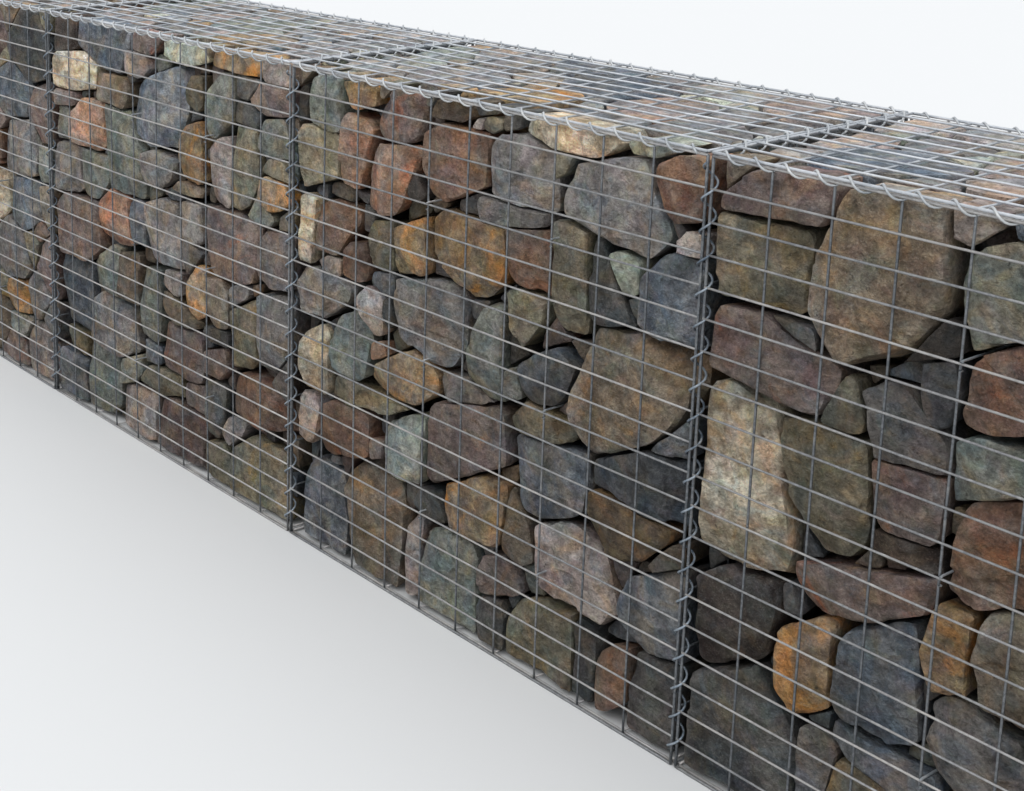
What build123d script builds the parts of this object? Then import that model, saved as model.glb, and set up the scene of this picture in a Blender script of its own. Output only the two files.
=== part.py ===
from build123d import *
import os

os.makedirs("parts", exist_ok=True)

# Driving sizes, in millimetres
bay_count = 4
bay_cells = 10
cells_up = 20
lid_cells = 10
cell_width = 100.0
cell_height = 50.0
mesh_wire = 4.0
edge_wire = 5.0
weld_gap = 0.2
bay_gap = 10.0
seat = 0.3
inner_row_cells = 10
inner_upright_cells = 5
base_upright_cells = 5
base_row_cells = 5
binder_wire = 4.0
tie_wire = 4.0
tie_columns = (4, 7)
tie_rows = (4, 10, 16)
tie_hook_drop = 14.0
tie_bore = 10.0
fill_corner = 22.0

# A panel is two crossed layers of wires in a frame of edge wires as deep as both
panel_depth = 2 * mesh_wire + weld_gap
panel_length = bay_cells * cell_width
panel_height = cells_up * cell_height
basket_depth = lid_cells * cell_height
bay_pitch = panel_length + bay_gap
wall_length = bay_count * bay_pitch

# Levels and planes: the front panel's long wires have their middles at basket_depth / 2
face_inside = basket_depth / 2 + mesh_wire / 2 - panel_depth
bottom_row = edge_wire / 2
panel_middle = bottom_row + panel_height / 2
panel_top = panel_height + edge_wire
lid_inside = panel_top + seat

# Room inside one bay, between two cross panels and between front and back
inner_length = bay_pitch - panel_depth - 2 * seat
inner_depth = 2 * (face_inside - seat)
fill_bottom = panel_depth + seat
fill_height = panel_top - fill_bottom

# A cross panel at a joint reaches from the front panel to the back panel
cross_reach = inner_depth - edge_wire


def bay_middle(bay):
    return (bay - (bay_count - 1) / 2) * bay_pitch


def joint_place(joint):
    return (joint - bay_count / 2) * bay_pitch


def write(piece, name):
    piece.part.label = name
    export_step(piece.part, f"parts/{name}.step")


# One flat panel: the plane lies on its inner face, at its middle, and looks outwards
def mesh_panel(plane, width, height, upright_cells, row_cells):
    window_width = width - edge_wire
    window_height = height - edge_wire
    with BuildPart() as panel:
        with BuildSketch(plane):
            Rectangle(width + edge_wire, height + edge_wire)
            Rectangle(window_width, window_height, mode=Mode.SUBTRACT)
        extrude(amount=panel_depth)
        with BuildSketch(plane):
            with GridLocations(width / upright_cells, 0, upright_cells - 1, 1):
                Rectangle(mesh_wire, window_height)
        extrude(amount=mesh_wire)
        with BuildSketch(plane.offset(mesh_wire + weld_gap)):
            with GridLocations(0, height / row_cells, 1, row_cells - 1):
                Rectangle(window_width, mesh_wire)
        extrude(amount=mesh_wire)
    return panel


# Spiral binder: four straight sides a turn, each rising a quarter of a cell, wound so that
# it passes the face panels and the cross panel between their rows
def spiral_binder(middle_x, middle_y, half, facing):
    corners = [(half, half), (-half, half), (-half, -half), (half, -half)]
    rise = cell_height / 4
    start = bottom_row + 1.5 * rise
    points = []
    for step in range(4 * cells_up - 1):
        corner_x, corner_y = corners[step % 4]
        x = middle_x + facing * corner_x
        y = middle_y + facing * corner_y
        points.append(Vector(x, y, start + step * rise))
    with BuildPart() as binder:
        with BuildLine():
            Polyline(*points)
        with BuildSketch(Plane(origin=points[0], z_dir=points[1] - points[0])):
            RegularPolygon(binder_wire / 2, 3)
        sweep(transition=Transition.RIGHT)
    return binder


# Where the ties of one bay cross it: beside an upright and just above a row
def tie_places(bay):
    beside = mesh_wire / 2 + seat + tie_wire / 2
    left = bay_middle(bay) - panel_length / 2
    places = []
    for column in tie_columns:
        for row in tie_rows:
            x = left + column * cell_width + beside
            z = bottom_row + row * cell_height + beside
            places.append((x, z))
    return places


# Stones of one bay as one mass, with its upright corners cut back for the binders
def stone_fill(bay):
    foot = Plane(origin=(bay_middle(bay), 0, fill_bottom))
    with BuildPart() as fill:
        with BuildSketch(foot):
            Rectangle(inner_length, inner_depth)
        extrude(amount=fill_height)
        chamfer(fill.edges().filter_by(Axis.Z), fill_corner)
        with BuildSketch(Plane.XZ):
            with Locations(*tie_places(bay)):
                Rectangle(tie_bore, tie_bore)
        extrude(amount=basket_depth, both=True, mode=Mode.SUBTRACT)
    return fill


# Bracing ties of one bay: straight wires through the stones, hooked over a row at each face
def bracing_ties(bay):
    reach = basket_depth / 2 + mesh_wire / 2 + seat + tie_wire / 2
    with BuildPart() as ties:
        for x, z in tie_places(bay):
            front_hook = Vector(x, -reach, z - tie_hook_drop)
            front_bend = Vector(x, -reach, z)
            back_bend = Vector(x, reach, z)
            back_hook = Vector(x, reach, z - tie_hook_drop)
            with BuildLine() as route:
                Polyline(front_hook, front_bend, back_bend, back_hook)
            with BuildSketch(Plane(origin=front_hook, z_dir=(0, 0, 1))):
                Rectangle(tie_wire, tie_wire)
            sweep(path=route.line, transition=Transition.RIGHT)
    return ties


# Faces, lids, base panels, stones and ties, bay by bay
for bay in range(bay_count):
    number = bay + 1
    middle = bay_middle(bay)

    front_plane = Plane(origin=(middle, -face_inside, panel_middle), x_dir=(1, 0, 0), z_dir=(0, -1, 0))
    write(mesh_panel(front_plane, panel_length, panel_height, bay_cells, cells_up), f"front_panel_{number}")

    back_plane = Plane(origin=(middle, face_inside, panel_middle), x_dir=(-1, 0, 0), z_dir=(0, 1, 0))
    write(mesh_panel(back_plane, panel_length, panel_height, bay_cells, cells_up), f"back_panel_{number}")

    lid_plane = Plane(origin=(middle, 0, lid_inside))
    write(mesh_panel(lid_plane, panel_length, basket_depth, bay_cells, lid_cells), f"lid_panel_{number}")

    base_plane = Plane(origin=(middle, 0, panel_depth), x_dir=(1, 0, 0), z_dir=(0, 0, -1))
    base_length = inner_length - edge_wire
    base_panel = mesh_panel(base_plane, base_length, cross_reach, base_upright_cells, base_row_cells)
    write(base_panel, f"base_panel_{number}")

    write(stone_fill(bay), f"stone_fill_{number}")
    write(bracing_ties(bay), f"bracing_ties_{number}")

# Cross panels: a full mesh at each end and a wider one at each inner joint
for joint in range(bay_count + 1):
    place = joint_place(joint)
    at_end = joint in (0, bay_count)
    outwards = 1 if joint == bay_count else -1
    start = place - outwards * panel_depth / 2
    cross_plane = Plane(origin=(start, 0, panel_middle), x_dir=(0, outwards, 0), z_dir=(outwards, 0, 0))
    rows = cells_up if at_end else inner_row_cells
    cross_panel = mesh_panel(cross_plane, cross_reach, panel_height, inner_upright_cells, rows)
    if at_end:
        side = "left" if joint == 0 else "right"
        write(cross_panel, f"{side}_end_panel")
    else:
        write(cross_panel, f"partition_panel_{joint}")

# Spiral binders: round the three edge wires at a joint, and round two at a corner
bundle_front = basket_depth / 2 + mesh_wire / 2
bundle_inside = face_inside - seat - edge_wire
bundle_middle = (bundle_front + bundle_inside) / 2
joint_half = (bay_gap + edge_wire) / 2 + seat + binder_wire / 2
corner_half = (bundle_front - bundle_inside) / 2 + seat + binder_wire / 2
corner_outside = wall_length / 2 + panel_depth / 2
corner_inside = wall_length / 2 - bay_gap / 2 - edge_wire / 2
corner_middle = (corner_outside + corner_inside) / 2
for facing, face_name in ((1, "front"), (-1, "back")):
    for joint in range(1, bay_count):
        binder = spiral_binder(joint_place(joint), -facing * bundle_middle, joint_half, facing)
        write(binder, f"{face_name}_binder_{joint}")
    for side, side_name in ((-1, "left"), (1, "right")):
        binder = spiral_binder(side * corner_middle, -facing * bundle_middle, corner_half, facing)
        write(binder, f"{face_name}_{side_name}_corner_binder")
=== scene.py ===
import bpy
import math
import numpy as np
from mathutils import Matrix, Vector


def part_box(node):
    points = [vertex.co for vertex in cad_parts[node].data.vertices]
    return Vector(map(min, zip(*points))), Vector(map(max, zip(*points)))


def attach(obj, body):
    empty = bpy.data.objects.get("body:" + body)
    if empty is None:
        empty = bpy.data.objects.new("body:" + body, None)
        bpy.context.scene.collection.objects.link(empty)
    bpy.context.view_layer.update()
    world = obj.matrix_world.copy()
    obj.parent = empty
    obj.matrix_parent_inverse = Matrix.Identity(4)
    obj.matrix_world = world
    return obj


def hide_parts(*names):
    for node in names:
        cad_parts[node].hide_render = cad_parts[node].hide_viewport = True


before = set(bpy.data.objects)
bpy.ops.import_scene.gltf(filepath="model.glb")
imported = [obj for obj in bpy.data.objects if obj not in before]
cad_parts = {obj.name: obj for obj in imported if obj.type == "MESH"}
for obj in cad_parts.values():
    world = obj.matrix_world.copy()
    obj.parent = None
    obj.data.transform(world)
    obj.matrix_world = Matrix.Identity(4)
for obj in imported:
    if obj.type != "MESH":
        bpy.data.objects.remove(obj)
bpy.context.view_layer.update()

# Camera, as the photograph was taken: standing near the right end and looking along the front
cameraView = {
    "place": (2.48391, -2.15571, 1.52154),
    "heading": 56.70,  # degrees from +Y towards -X
    "tilt": -12.02,
    "roll": -0.5325,
    "lens": 55.90,
    "shiftX": 0.32761,
    "shiftY": -0.25144,
}


def placeCamera(view):
    heading = math.radians(view["heading"])
    tilt = math.radians(view["tilt"])
    roll = math.radians(view["roll"])
    look = Vector((-math.sin(heading) * math.cos(tilt), math.cos(heading) * math.cos(tilt), math.sin(tilt)))
    level = look.cross(Vector((0, 0, 1))).normalized()
    upright = level.cross(look).normalized()
    right = math.cos(roll) * level + math.sin(roll) * upright
    up = math.cos(roll) * upright - math.sin(roll) * level
    lensData = bpy.data.cameras.new("wallCamera")
    lensData.sensor_width = 36
    lensData.lens = view["lens"]
    lensData.shift_x = view["shiftX"]
    lensData.shift_y = view["shiftY"]
    lensData.clip_start = 0.05
    lensData.clip_end = 60
    camera = bpy.data.objects.new("wallCamera", lensData)
    turned = Matrix((right, up, -look)).transposed().to_4x4()
    camera.matrix_world = Matrix.Translation(Vector(view["place"])) @ turned
    bpy.context.scene.collection.objects.link(camera)
    bpy.context.scene.camera = camera


placeCamera(cameraView)
print("camera placed")

# The wall's own measures, as in the CAD model
wall = {
    "joints": (-2.02, -1.01, 0.0, 1.01, 2.02),
    "faceInside": 0.2434,  # just behind the front and back mesh
    "endInside": 2.0152,
    "lidUnder": 1.0045,
    "foot": 0.0100,
    "jointRoom": 0.0135,  # stones keep clear of the spirals
    "cell": 0.05,
    "bayHalf": 0.5,
    "baseRow": 0.0025,
    "baseTop": 0.0088,  # of the base mesh, on which the stones stand
    "coreDepth": 0.072,  # where the inner stones begin
}
bayMiddles = [(a + b) / 2 for a, b in zip(wall["joints"], wall["joints"][1:])]


def addNode(tree, kind, inputs=None, **settings):
    made = tree.nodes.new(kind)
    for name, value in settings.items():
        setattr(made, name, value)
    for key, value in (inputs or {}).items():
        if isinstance(value, bpy.types.NodeSocket):
            tree.links.new(value, made.inputs[key])
        else:
            made.inputs[key].default_value = value
    return made


# A shared node group: it takes a vector and the named values, and gives masks, numbers and perhaps a colour
def newGroup(name, takes, gives):
    tree = bpy.data.node_groups.new(name, "ShaderNodeTree")
    tree.interface.new_socket("Vector", in_out="INPUT", socket_type="NodeSocketVector")
    for label, value in takes.items():
        kind = "NodeSocketFloat" if isinstance(value, float) else "NodeSocketColor"
        tree.interface.new_socket(label, in_out="INPUT", socket_type=kind).default_value = value
    for label in gives.split():
        kind = "NodeSocketColor" if label == "Colour" else "NodeSocketFloat"
        tree.interface.new_socket(label, in_out="OUTPUT", socket_type=kind)
    start = tree.nodes.new("NodeGroupInput")
    end = tree.nodes.new("NodeGroupOutput")
    return tree, start.outputs, end.inputs


def giveAll(tree, gives, results):
    for label, value in results.items():
        tree.links.new(value, gives[label])
    return tree


def useGroup(tree, group, inputs):
    return addNode(tree, "ShaderNodeGroup", inputs, node_tree=group).outputs


def noiseOf(tree, vector, scale, detail, rough, warp=0.0):
    made = addNode(tree, "ShaderNodeTexNoise", {"Vector": vector, "Scale": scale, "Detail": detail,
                                                "Roughness": rough, "Distortion": warp})
    return made.outputs["Fac"]


# One chance value for each cell of a pattern of crystals
def cellChance(tree, vector, scale):
    cells = addNode(tree, "ShaderNodeTexVoronoi", {"Vector": vector, "Scale": scale})
    return addNode(tree, "ShaderNodeSeparateColor", {"Color": cells.outputs["Color"]}).outputs[0]


def spread(tree, value, low, high, least=0.0, most=1.0):
    made = addNode(tree, "ShaderNodeMapRange", {"Value": value, "From Min": low, "From Max": high,
                                                "To Min": least, "To Max": most},
                   interpolation_type="SMOOTHSTEP")
    return made.outputs["Result"]


def combine(tree, operation, a, b):
    return addNode(tree, "ShaderNodeMath", {0: a, 1: b}, operation=operation).outputs[0]


def plus(tree, a, b):
    return combine(tree, "ADD", a, b)


def less(tree, a, b):
    return combine(tree, "SUBTRACT", a, b)


def times(tree, a, b):
    return combine(tree, "MULTIPLY", a, b)


def blendColour(tree, factor, a, b, way="MIX"):
    made = addNode(tree, "ShaderNodeMix", {0: factor, 6: a, 7: b}, data_type="RGBA", blend_type=way)
    return made.outputs[2]


def brighten(tree, colour, value):
    return addNode(tree, "ShaderNodeHueSaturation", {"Color": colour, "Value": value}).outputs[0]


def colourOf(red, green, blue):
    def linear(part):
        part = part / 255
        return part / 12.92 if part <= 0.04045 else ((part + 0.055) / 1.055) ** 2.4
    return (linear(red), linear(green), linear(blue), 1.0)


def attributeOf(tree, name, output="Fac"):
    made = addNode(tree, "ShaderNodeAttribute", attribute_name=name, attribute_type="GEOMETRY")
    return made.outputs[output]


# Broad patches, finer mottling and four faint tints of a broken rock
def makeRockTones():
    tree, takes, gives = newGroup("rockTones", {}, "Patch Mottle Cloud Warm Cool Green Purple")
    where = takes["Vector"]
    broad = noiseOf(tree, where, 11.0, 3.0, 0.55, 0.6)
    fine = noiseOf(tree, where, 42.0, 5.0, 0.62, 0.3)
    cloud = noiseOf(tree, where, 5.5, 2.0, 0.5)
    warmth = noiseOf(tree, where, 15.0, 4.0, 0.6, 0.8)
    tint = noiseOf(tree, where, 23.0, 3.0, 0.6, 0.6)
    return giveAll(tree, gives, {
        "Patch": spread(tree, broad, 0.38, 0.62),
        "Mottle": spread(tree, fine, 0.40, 0.66),
        "Cloud": spread(tree, cloud, 0.30, 0.70),
        "Warm": spread(tree, warmth, 0.50, 0.64),
        "Cool": spread(tree, warmth, 0.48, 0.36),
        "Green": spread(tree, tint, 0.52, 0.66),
        "Purple": spread(tree, tint, 0.48, 0.34)})


# Crystals and pits of a few millimetres
def makeRockGrain():
    tree, takes, gives = newGroup("rockGrain", {}, "Fleck Pit Height")
    where = takes["Vector"]
    chance = cellChance(tree, where, 480.0)
    grit = noiseOf(tree, where, 190.0, 4.0, 0.7)
    pits = noiseOf(tree, where, 95.0, 3.0, 0.6)
    return giveAll(tree, gives, {
        "Fleck": spread(tree, chance, 0.70, 0.98),
        "Pit": spread(tree, pits, 0.38, 0.28),
        "Height": plus(tree, grit, times(tree, chance, 0.25))})


# Rust brown staining that follows seams and runs
def makeRockStain():
    tree, takes, gives = newGroup("rockStain", {"Amount": 0.3}, "Mask")
    where = takes["Vector"]
    wide = noiseOf(tree, where, 8.0, 6.0, 0.62, 1.2)
    level = less(tree, 0.72, times(tree, takes["Amount"], 0.32))
    return giveAll(tree, gives, {"Mask": spread(tree, less(tree, wide, level), -0.02, 0.09)})


# Broken relief: swells, ledges and grit, with a measure of how far each spot stands out, which the rock
# material turns into painted shade and light
def makeRockRelief():
    tree, takes, gives = newGroup("rockRelief", {"Ledges": 1.0, "Grit": 1.0}, "Height Stand Sand")
    where = takes["Vector"]
    swell = noiseOf(tree, where, 30.0, 6.0, 0.62, 0.3)
    broken = noiseOf(tree, where, 78.0, 5.0, 0.62, 0.3)
    plates = addNode(tree, "ShaderNodeTexVoronoi", {"Vector": where, "Scale": 34.0, "Randomness": 1.0},
                     feature="F1", distance="CHEBYCHEV").outputs["Distance"]
    grit = noiseOf(tree, where, 230.0, 4.0, 0.7)
    coarse = plus(tree, times(tree, swell, 2.2), times(tree, times(tree, plates, takes["Ledges"]), 0.7))
    middle = plus(tree, coarse, times(tree, broken, 1.3))
    both = plus(tree, times(tree, broken, 0.45), times(tree, swell, 0.55))
    return giveAll(tree, gives, {
        "Height": plus(tree, middle, times(tree, grit, times(tree, takes["Grit"], 0.5))),
        "Stand": spread(tree, both, 0.32, 0.66),
        "Sand": spread(tree, grit, 0.28, 0.72)})


# Dull zinc with its spangle, water marks and a little white bloom, and painted light and shade from its tone
def makeZincSkin():
    tree, takes, gives = newGroup("zincSkin", {"Bright": (0.5, 0.5, 0.5, 1), "Dull": (0.3, 0.3, 0.3, 1),
                                               "Shaded": (0.2, 0.2, 0.25, 1), "Tone": 1.0},
                                  "Colour Roughness Metallic Height")
    where = takes["Vector"]
    chance = cellChance(tree, where, 210.0)
    marks = noiseOf(tree, where, 14.0, 4.0, 0.6, 0.5)
    bloom = spread(tree, noiseOf(tree, where, 46.0, 4.0, 0.65), 0.56, 0.70)
    mixed = blendColour(tree, spread(tree, marks, 0.35, 0.65), takes["Dull"], takes["Bright"])
    # painted shade: a tone below one blends the wire towards its shaded colour, and the tone brightens or
    # darkens it
    mixed = blendColour(tree, spread(tree, takes["Tone"], 1.0, 0.7), mixed, takes["Shaded"])
    mottled = blendColour(tree, times(tree, chance, 0.22), mixed, (0.78, 0.80, 0.82, 1))
    chalky = blendColour(tree, times(tree, bloom, 0.35), mottled, (0.70, 0.71, 0.70, 1))
    return giveAll(tree, gives, {
        "Colour": brighten(tree, chalky, takes["Tone"]),
        "Roughness": plus(tree, 0.40, times(tree, bloom, 0.25)),
        "Metallic": less(tree, 0.45, times(tree, bloom, 0.3)),
        "Height": noiseOf(tree, where, 260.0, 3.0, 0.6)})


rockTones = makeRockTones()
rockGrain = makeRockGrain()
rockStain = makeRockStain()
rockRelief = makeRockRelief()
zincSkin = makeZincSkin()

# Kinds of stone in the wall: their colours, how much of the last three of these, and their relief
rockLook = ("main", "patch", "mottle", "stain", "patchShare", "mottleShare", "stainAmount", "ledges", "grit")
rockKinds = {
    "cream": ((202, 189, 166), (230, 220, 200), (150, 126, 100), (188, 152, 104), 0.9, 0.7, 0.45, 1.6, 1.6),
    "brown": ((120, 107, 92), (104, 90, 78), (142, 129, 110), (146, 114, 78), 0.8, 0.6, 0.45, 0.8, 1.0),
    "purpleBrown": ((114, 99, 95), (98, 80, 79), (130, 115, 107), (142, 92, 70), 0.9, 0.6, 0.40, 0.9, 0.9),
    "slate": ((94, 101, 110), (74, 81, 91), (126, 131, 136), (108, 100, 88), 0.9, 0.55, 0.20, 1.2, 0.8),
    "ochre": ((144, 120, 92), (114, 96, 83), (170, 142, 100), (190, 132, 62), 0.9, 0.7, 0.58, 1.1, 1.1),
    "brownRed": ((130, 101, 84), (108, 80, 70), (146, 118, 96), (152, 98, 70), 0.9, 0.6, 0.45, 0.9, 1.0),
    "greyGreen": ((126, 131, 124), (107, 113, 109), (146, 149, 139), (130, 121, 96),
                  0.9, 0.55, 0.28, 0.9, 0.9),
    "midGrey": ((121, 118, 117), (102, 99, 101), (142, 138, 134), (130, 113, 95), 0.9, 0.6, 0.30, 1.0, 1.0),
    "darkGrey": ((77, 79, 80), (62, 64, 67), (94, 96, 95), (92, 84, 72), 0.9, 0.6, 0.20, 1.2, 1.0),
    "darkBrown": ((57, 47, 43), (46, 38, 36), (71, 61, 55), (82, 58, 45), 0.9, 0.6, 0.30, 1.0, 0.9),
    "olive": ((116, 110, 92), (96, 90, 74), (134, 126, 104), (142, 118, 66), 0.9, 0.6, 0.40, 0.9, 1.0),
    "pinkGrey": ((144, 132, 128), (122, 110, 108), (162, 152, 145), (150, 122, 98), 0.8, 0.6, 0.25, 1.1, 1.2),
    "paleGreen": ((166, 171, 158), (142, 148, 136), (190, 194, 180), (150, 144, 114),
                  0.8, 0.6, 0.22, 0.7, 0.8),
}
kindNames = list(rockKinds)
rockTints = {"Warm": (1.20, 1.0, 0.78, 1), "Cool": (0.82, 0.98, 1.13, 1),
             "Green": (0.96, 1.04, 0.94, 1), "Purple": (1.04, 0.955, 1.02, 1)}


def newMaterial(name):
    made = bpy.data.materials.new(name)
    made.use_nodes = True
    made.node_tree.nodes.clear()
    return made, made.node_tree


def addSurface(tree, inputs):
    surface = addNode(tree, "ShaderNodeBsdfPrincipled", inputs)
    addNode(tree, "ShaderNodeOutputMaterial", {"Surface": surface.outputs[0]})


def rockMaterial(kind):
    look = dict(zip(rockLook, rockKinds[kind]))
    made, tree = newMaterial(kind + "Rock")
    place = addNode(tree, "ShaderNodeTexCoord").outputs["Object"]
    shift = attributeOf(tree, "grainShift", "Vector")
    where = addNode(tree, "ShaderNodeVectorMath", {0: place, 1: shift}, operation="ADD").outputs[0]
    tones = useGroup(tree, rockTones, {"Vector": where})
    grain = useGroup(tree, rockGrain, {"Vector": where})
    stain = useGroup(tree, rockStain, {"Vector": where, "Amount": look["stainAmount"]})
    relief = useGroup(tree, rockRelief, {"Vector": where, "Ledges": look["ledges"], "Grit": look["grit"]})
    colour = colourOf(*look["main"])
    for mask, share, over in (
            (tones["Patch"], look["patchShare"], colourOf(*look["patch"])),
            (tones["Mottle"], look["mottleShare"], colourOf(*look["mottle"])),
            (stain["Mask"], 0.75, colourOf(*look["stain"])),
            (grain["Fleck"], 0.10, (0.55, 0.53, 0.49, 1)),
            (grain["Pit"], 0.60, (0.030, 0.026, 0.023, 1)),
            (attributeOf(tree, "edgeWear"), 0.22, (0.40, 0.375, 0.335, 1))):
        colour = blendColour(tree, times(tree, mask, share), colour, over)
    for mask, tint in rockTints.items():
        colour = blendColour(tree, times(tree, tones[mask], 0.8), colour, tint, "MULTIPLY")
    # The stoneShade attribute holds each stone's own tone with painted shade and light; Stand adds painted
    # shade in the low spots of the relief and painted light on its high spots
    shade = attributeOf(tree, "stoneShade")
    for value, dark, light in ((tones["Cloud"], 0.80, 1.22), (relief["Stand"], 0.66, 1.34),
                               (relief["Sand"], 0.82, 1.18)):
        shade = times(tree, shade, spread(tree, value, 0.0, 1.0, dark, light))
    bump = addNode(tree, "ShaderNodeBump", {"Height": relief["Height"], "Strength": 1.0, "Distance": 0.0050})
    fine = addNode(tree, "ShaderNodeBump", {"Height": grain["Height"], "Strength": 0.8, "Distance": 0.0010,
                                            "Normal": bump.outputs[0]})
    rough = spread(tree, grain["Pit"], 0.0, 1.0, 0.80, 0.97)
    addSurface(tree, {"Base Color": brighten(tree, colour, shade), "Roughness": rough,
                      "Normal": fine.outputs[0], "Specular IOR Level": 0.32})
    return made


rockMaterials = {kind: rockMaterial(kind) for kind in kindNames}

# Bright and dull are the zinc's own mottling, and shaded is painted shade; the lid's bluer zinc is painted
# sky reflection, the spirals' darker blue zinc painted shade in the joints
zincKinds = {
    "meshZinc": {"Bright": (192, 188, 184), "Dull": (154, 153, 154), "Shaded": (112, 118, 125)},
    "lidZinc": {"Bright": (194, 198, 204), "Dull": (160, 166, 173), "Shaded": (112, 118, 125)},
    "spiralZinc": {"Bright": (150, 164, 178), "Dull": (84, 100, 116), "Shaded": (78, 94, 110)},
    "laceZinc": {"Bright": (200, 202, 203), "Dull": (152, 158, 164), "Shaded": (112, 124, 136)},
    "tieZinc": {"Bright": (200, 204, 208), "Dull": (130, 140, 150), "Shaded": (104, 116, 128)},
}


def zincMaterial(name):
    made, tree = newMaterial(name)
    inputs = {label: colourOf(*colour) for label, colour in zincKinds[name].items()}
    inputs["Vector"] = addNode(tree, "ShaderNodeTexCoord").outputs["Object"]
    inputs["Tone"] = attributeOf(tree, "wireTone")
    skin = useGroup(tree, zincSkin, inputs)
    bump = addNode(tree, "ShaderNodeBump", {"Height": skin["Height"], "Strength": 0.35, "Distance": 0.0004})
    addSurface(tree, {"Base Color": skin["Colour"], "Roughness": skin["Roughness"],
                      "Metallic": skin["Metallic"], "Normal": bump.outputs[0]})
    return made


zincMaterials = {name: zincMaterial(name) for name in zincKinds}
print("materials made")


def makePiece(name, points, faces, materials, numbers=None, values=None, vectors=None, crease=None):
    mesh = bpy.data.meshes.new(name)
    mesh.from_pydata(points, [], faces)
    for material in materials:
        mesh.materials.append(material)
    if numbers is not None:
        mesh.polygons.foreach_set("material_index", numbers)
    for arrays, kind, field in ((values, "FLOAT", "value"), (vectors, "FLOAT_VECTOR", "vector")):
        for label, array in (arrays or {}).items():
            attribute = mesh.attributes.new(label, kind, "POINT")
            attribute.data.foreach_set(field, np.asarray(array, dtype=np.float32).ravel())
    mesh.polygons.foreach_set("use_smooth", np.ones(len(mesh.polygons), dtype=bool))
    if crease:
        mesh.set_sharp_from_angle(angle=math.radians(crease))
    mesh.update()
    piece = bpy.data.objects.new(name, mesh)
    bpy.context.scene.collection.objects.link(piece)
    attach(piece, "root")
    return piece


# Sides of a tube or of a stone between rings of as many points
def ringFaces(grid):
    after = np.roll(grid, -1, axis=1)
    return np.stack([grid[:-1], grid[1:], after[1:], after[:-1]], axis=-1).reshape(-1, 4)


# Round wires gathered into one mesh
class WireBundle:
    sides = 6

    def __init__(self):
        self.points = []
        self.faces = []
        self.tones = []
        self.count = 0

    def add(self, path, radius, tone):
        sides = self.sides
        path = np.asarray(path, dtype=float)
        run = np.gradient(path, axis=0)
        run /= np.linalg.norm(run, axis=1)[:, None]
        guide = np.array((0.0, 0.0, 1.0)) if abs(run[0][2]) < 0.8 else np.array((0.0, 1.0, 0.0))
        side = np.cross(run, guide)
        side /= np.linalg.norm(side, axis=1)[:, None]
        over = np.cross(side, run)
        turn = np.arange(sides) * 2 * math.pi / sides + math.pi / sides
        ring = (path[:, None, :] + radius * (np.cos(turn)[None, :, None] * side[:, None, :]
                                             + np.sin(turn)[None, :, None] * over[:, None, :]))
        total = len(path)
        grid = self.count + np.arange(total * sides).reshape(total, sides)
        self.points.append(ring.reshape(-1, 3))
        self.faces.extend(ringFaces(grid).tolist())
        self.faces.append(grid[0].tolist())
        self.faces.append(grid[-1][::-1].tolist())
        self.tones.append(np.full(total * sides, tone))
        self.count += total * sides

    def piece(self, name, material, nodes, slot):
        made = makePiece(name, np.concatenate(self.points).tolist(), self.faces, [zincMaterials[material]],
                         values={"wireTone": np.concatenate(self.tones)})
        if nodes:
            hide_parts(*nodes)


# Rows of points from three coordinates, of which some may be single numbers
def pointsOf(a, b, c):
    return np.stack(np.broadcast_arrays(a, b, c), axis=1).astype(float)


# Smooth noise of lattice values, from -1 to 1
def softNoise(points, size, seed):
    q = points / size + 37.0
    low = np.floor(q).astype(np.int64)
    f = q - low
    f = f * f * (3 - 2 * f)
    total = np.zeros(len(points))
    for dx in (0, 1):
        for dy in (0, 1):
            for dz in (0, 1):
                h = (low[:, 0] + dx) * 73856093
                h = h ^ ((low[:, 1] + dy) * 19349663) ^ ((low[:, 2] + dz) * 83492791)
                h = (h ^ (seed * 2654435761)) & 0xFFFFFFFF
                h = ((h ^ (h >> 15)) * 2246822519) & 0xFFFFFFFF
                h = ((h ^ (h >> 13)) * 3266489917) & 0xFFFFFFFF
                h = (h ^ (h >> 16)) / 4294967295.0 * 2 - 1
                weight = ((f[:, 0] if dx else 1 - f[:, 0]) * (f[:, 1] if dy else 1 - f[:, 1])
                          * (f[:, 2] if dz else 1 - f[:, 2]))
                total += weight * h
    return total


def noiseAt(a, b, c, seed):
    return softNoise(pointsOf(a, b, c), 1.0, seed)


meshPanel = {
    "wire": 0.0020,  # radius
    "edgeWire": 0.0025,
    "steps": 21,  # points along a wire of a face or a lid
    "rowPlane": 0.2497,  # of the front and back: rows, uprights behind them, edge wires
    "uprightPlane": 0.2459,
    "edgePlane": 0.2478,
    "rowBow": 0.0030,  # how far the stones push the face out
    "waver": 0.0009,
    # Tones paint light and shade on the wires: painted shade on the uprights behind the rows and on the
    # partitions, painted light on the lid's wires
    "toneSpread": 0.08,
    "uprightTone": 0.74,
    "rowTones": (0.93, 0.88),
    "farTone": 1.12,  # painted light: the two left bays are drawn brighter
    "edgeTones": (0.88, 1.15),  # at the foot and at the top, the top one brighter as painted light
    "lidRowLevel": 1.0114,
    "lidCrossLevel": 1.0076,
    "lidEdgeLevel": 1.0086,
    "lidTone": 1.32,
    "lidEdgeTone": 1.20,
    "lidCrossTone": 1.06,
    "lidWaver": 0.0022,
    "lidRise": 0.0022,  # how far the lid follows the stones, and how far it lies lower between its edges
    "lidSag": 0.0012,
    "baseRowLevels": (0.0021, 0.0027),  # of the base's wires and of its edge wires
    "baseCrossLevel": 0.0060,
    "endBow": 0.0025,
    "crossOffset": 0.0019,  # of rows and uprights from the middle of a cross panel
    "partitionTone": 0.60,
}
wireRandom = np.random.default_rng(11)


def wireTone():
    return 1.0 + meshPanel["toneSpread"] * wireRandom.uniform(-1, 1)


# Rows near the ground are a little brighter
def rowTone(level):
    low, high = meshPanel["rowTones"]
    return (low + (high - low) * level / 20) * wireTone()


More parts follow.
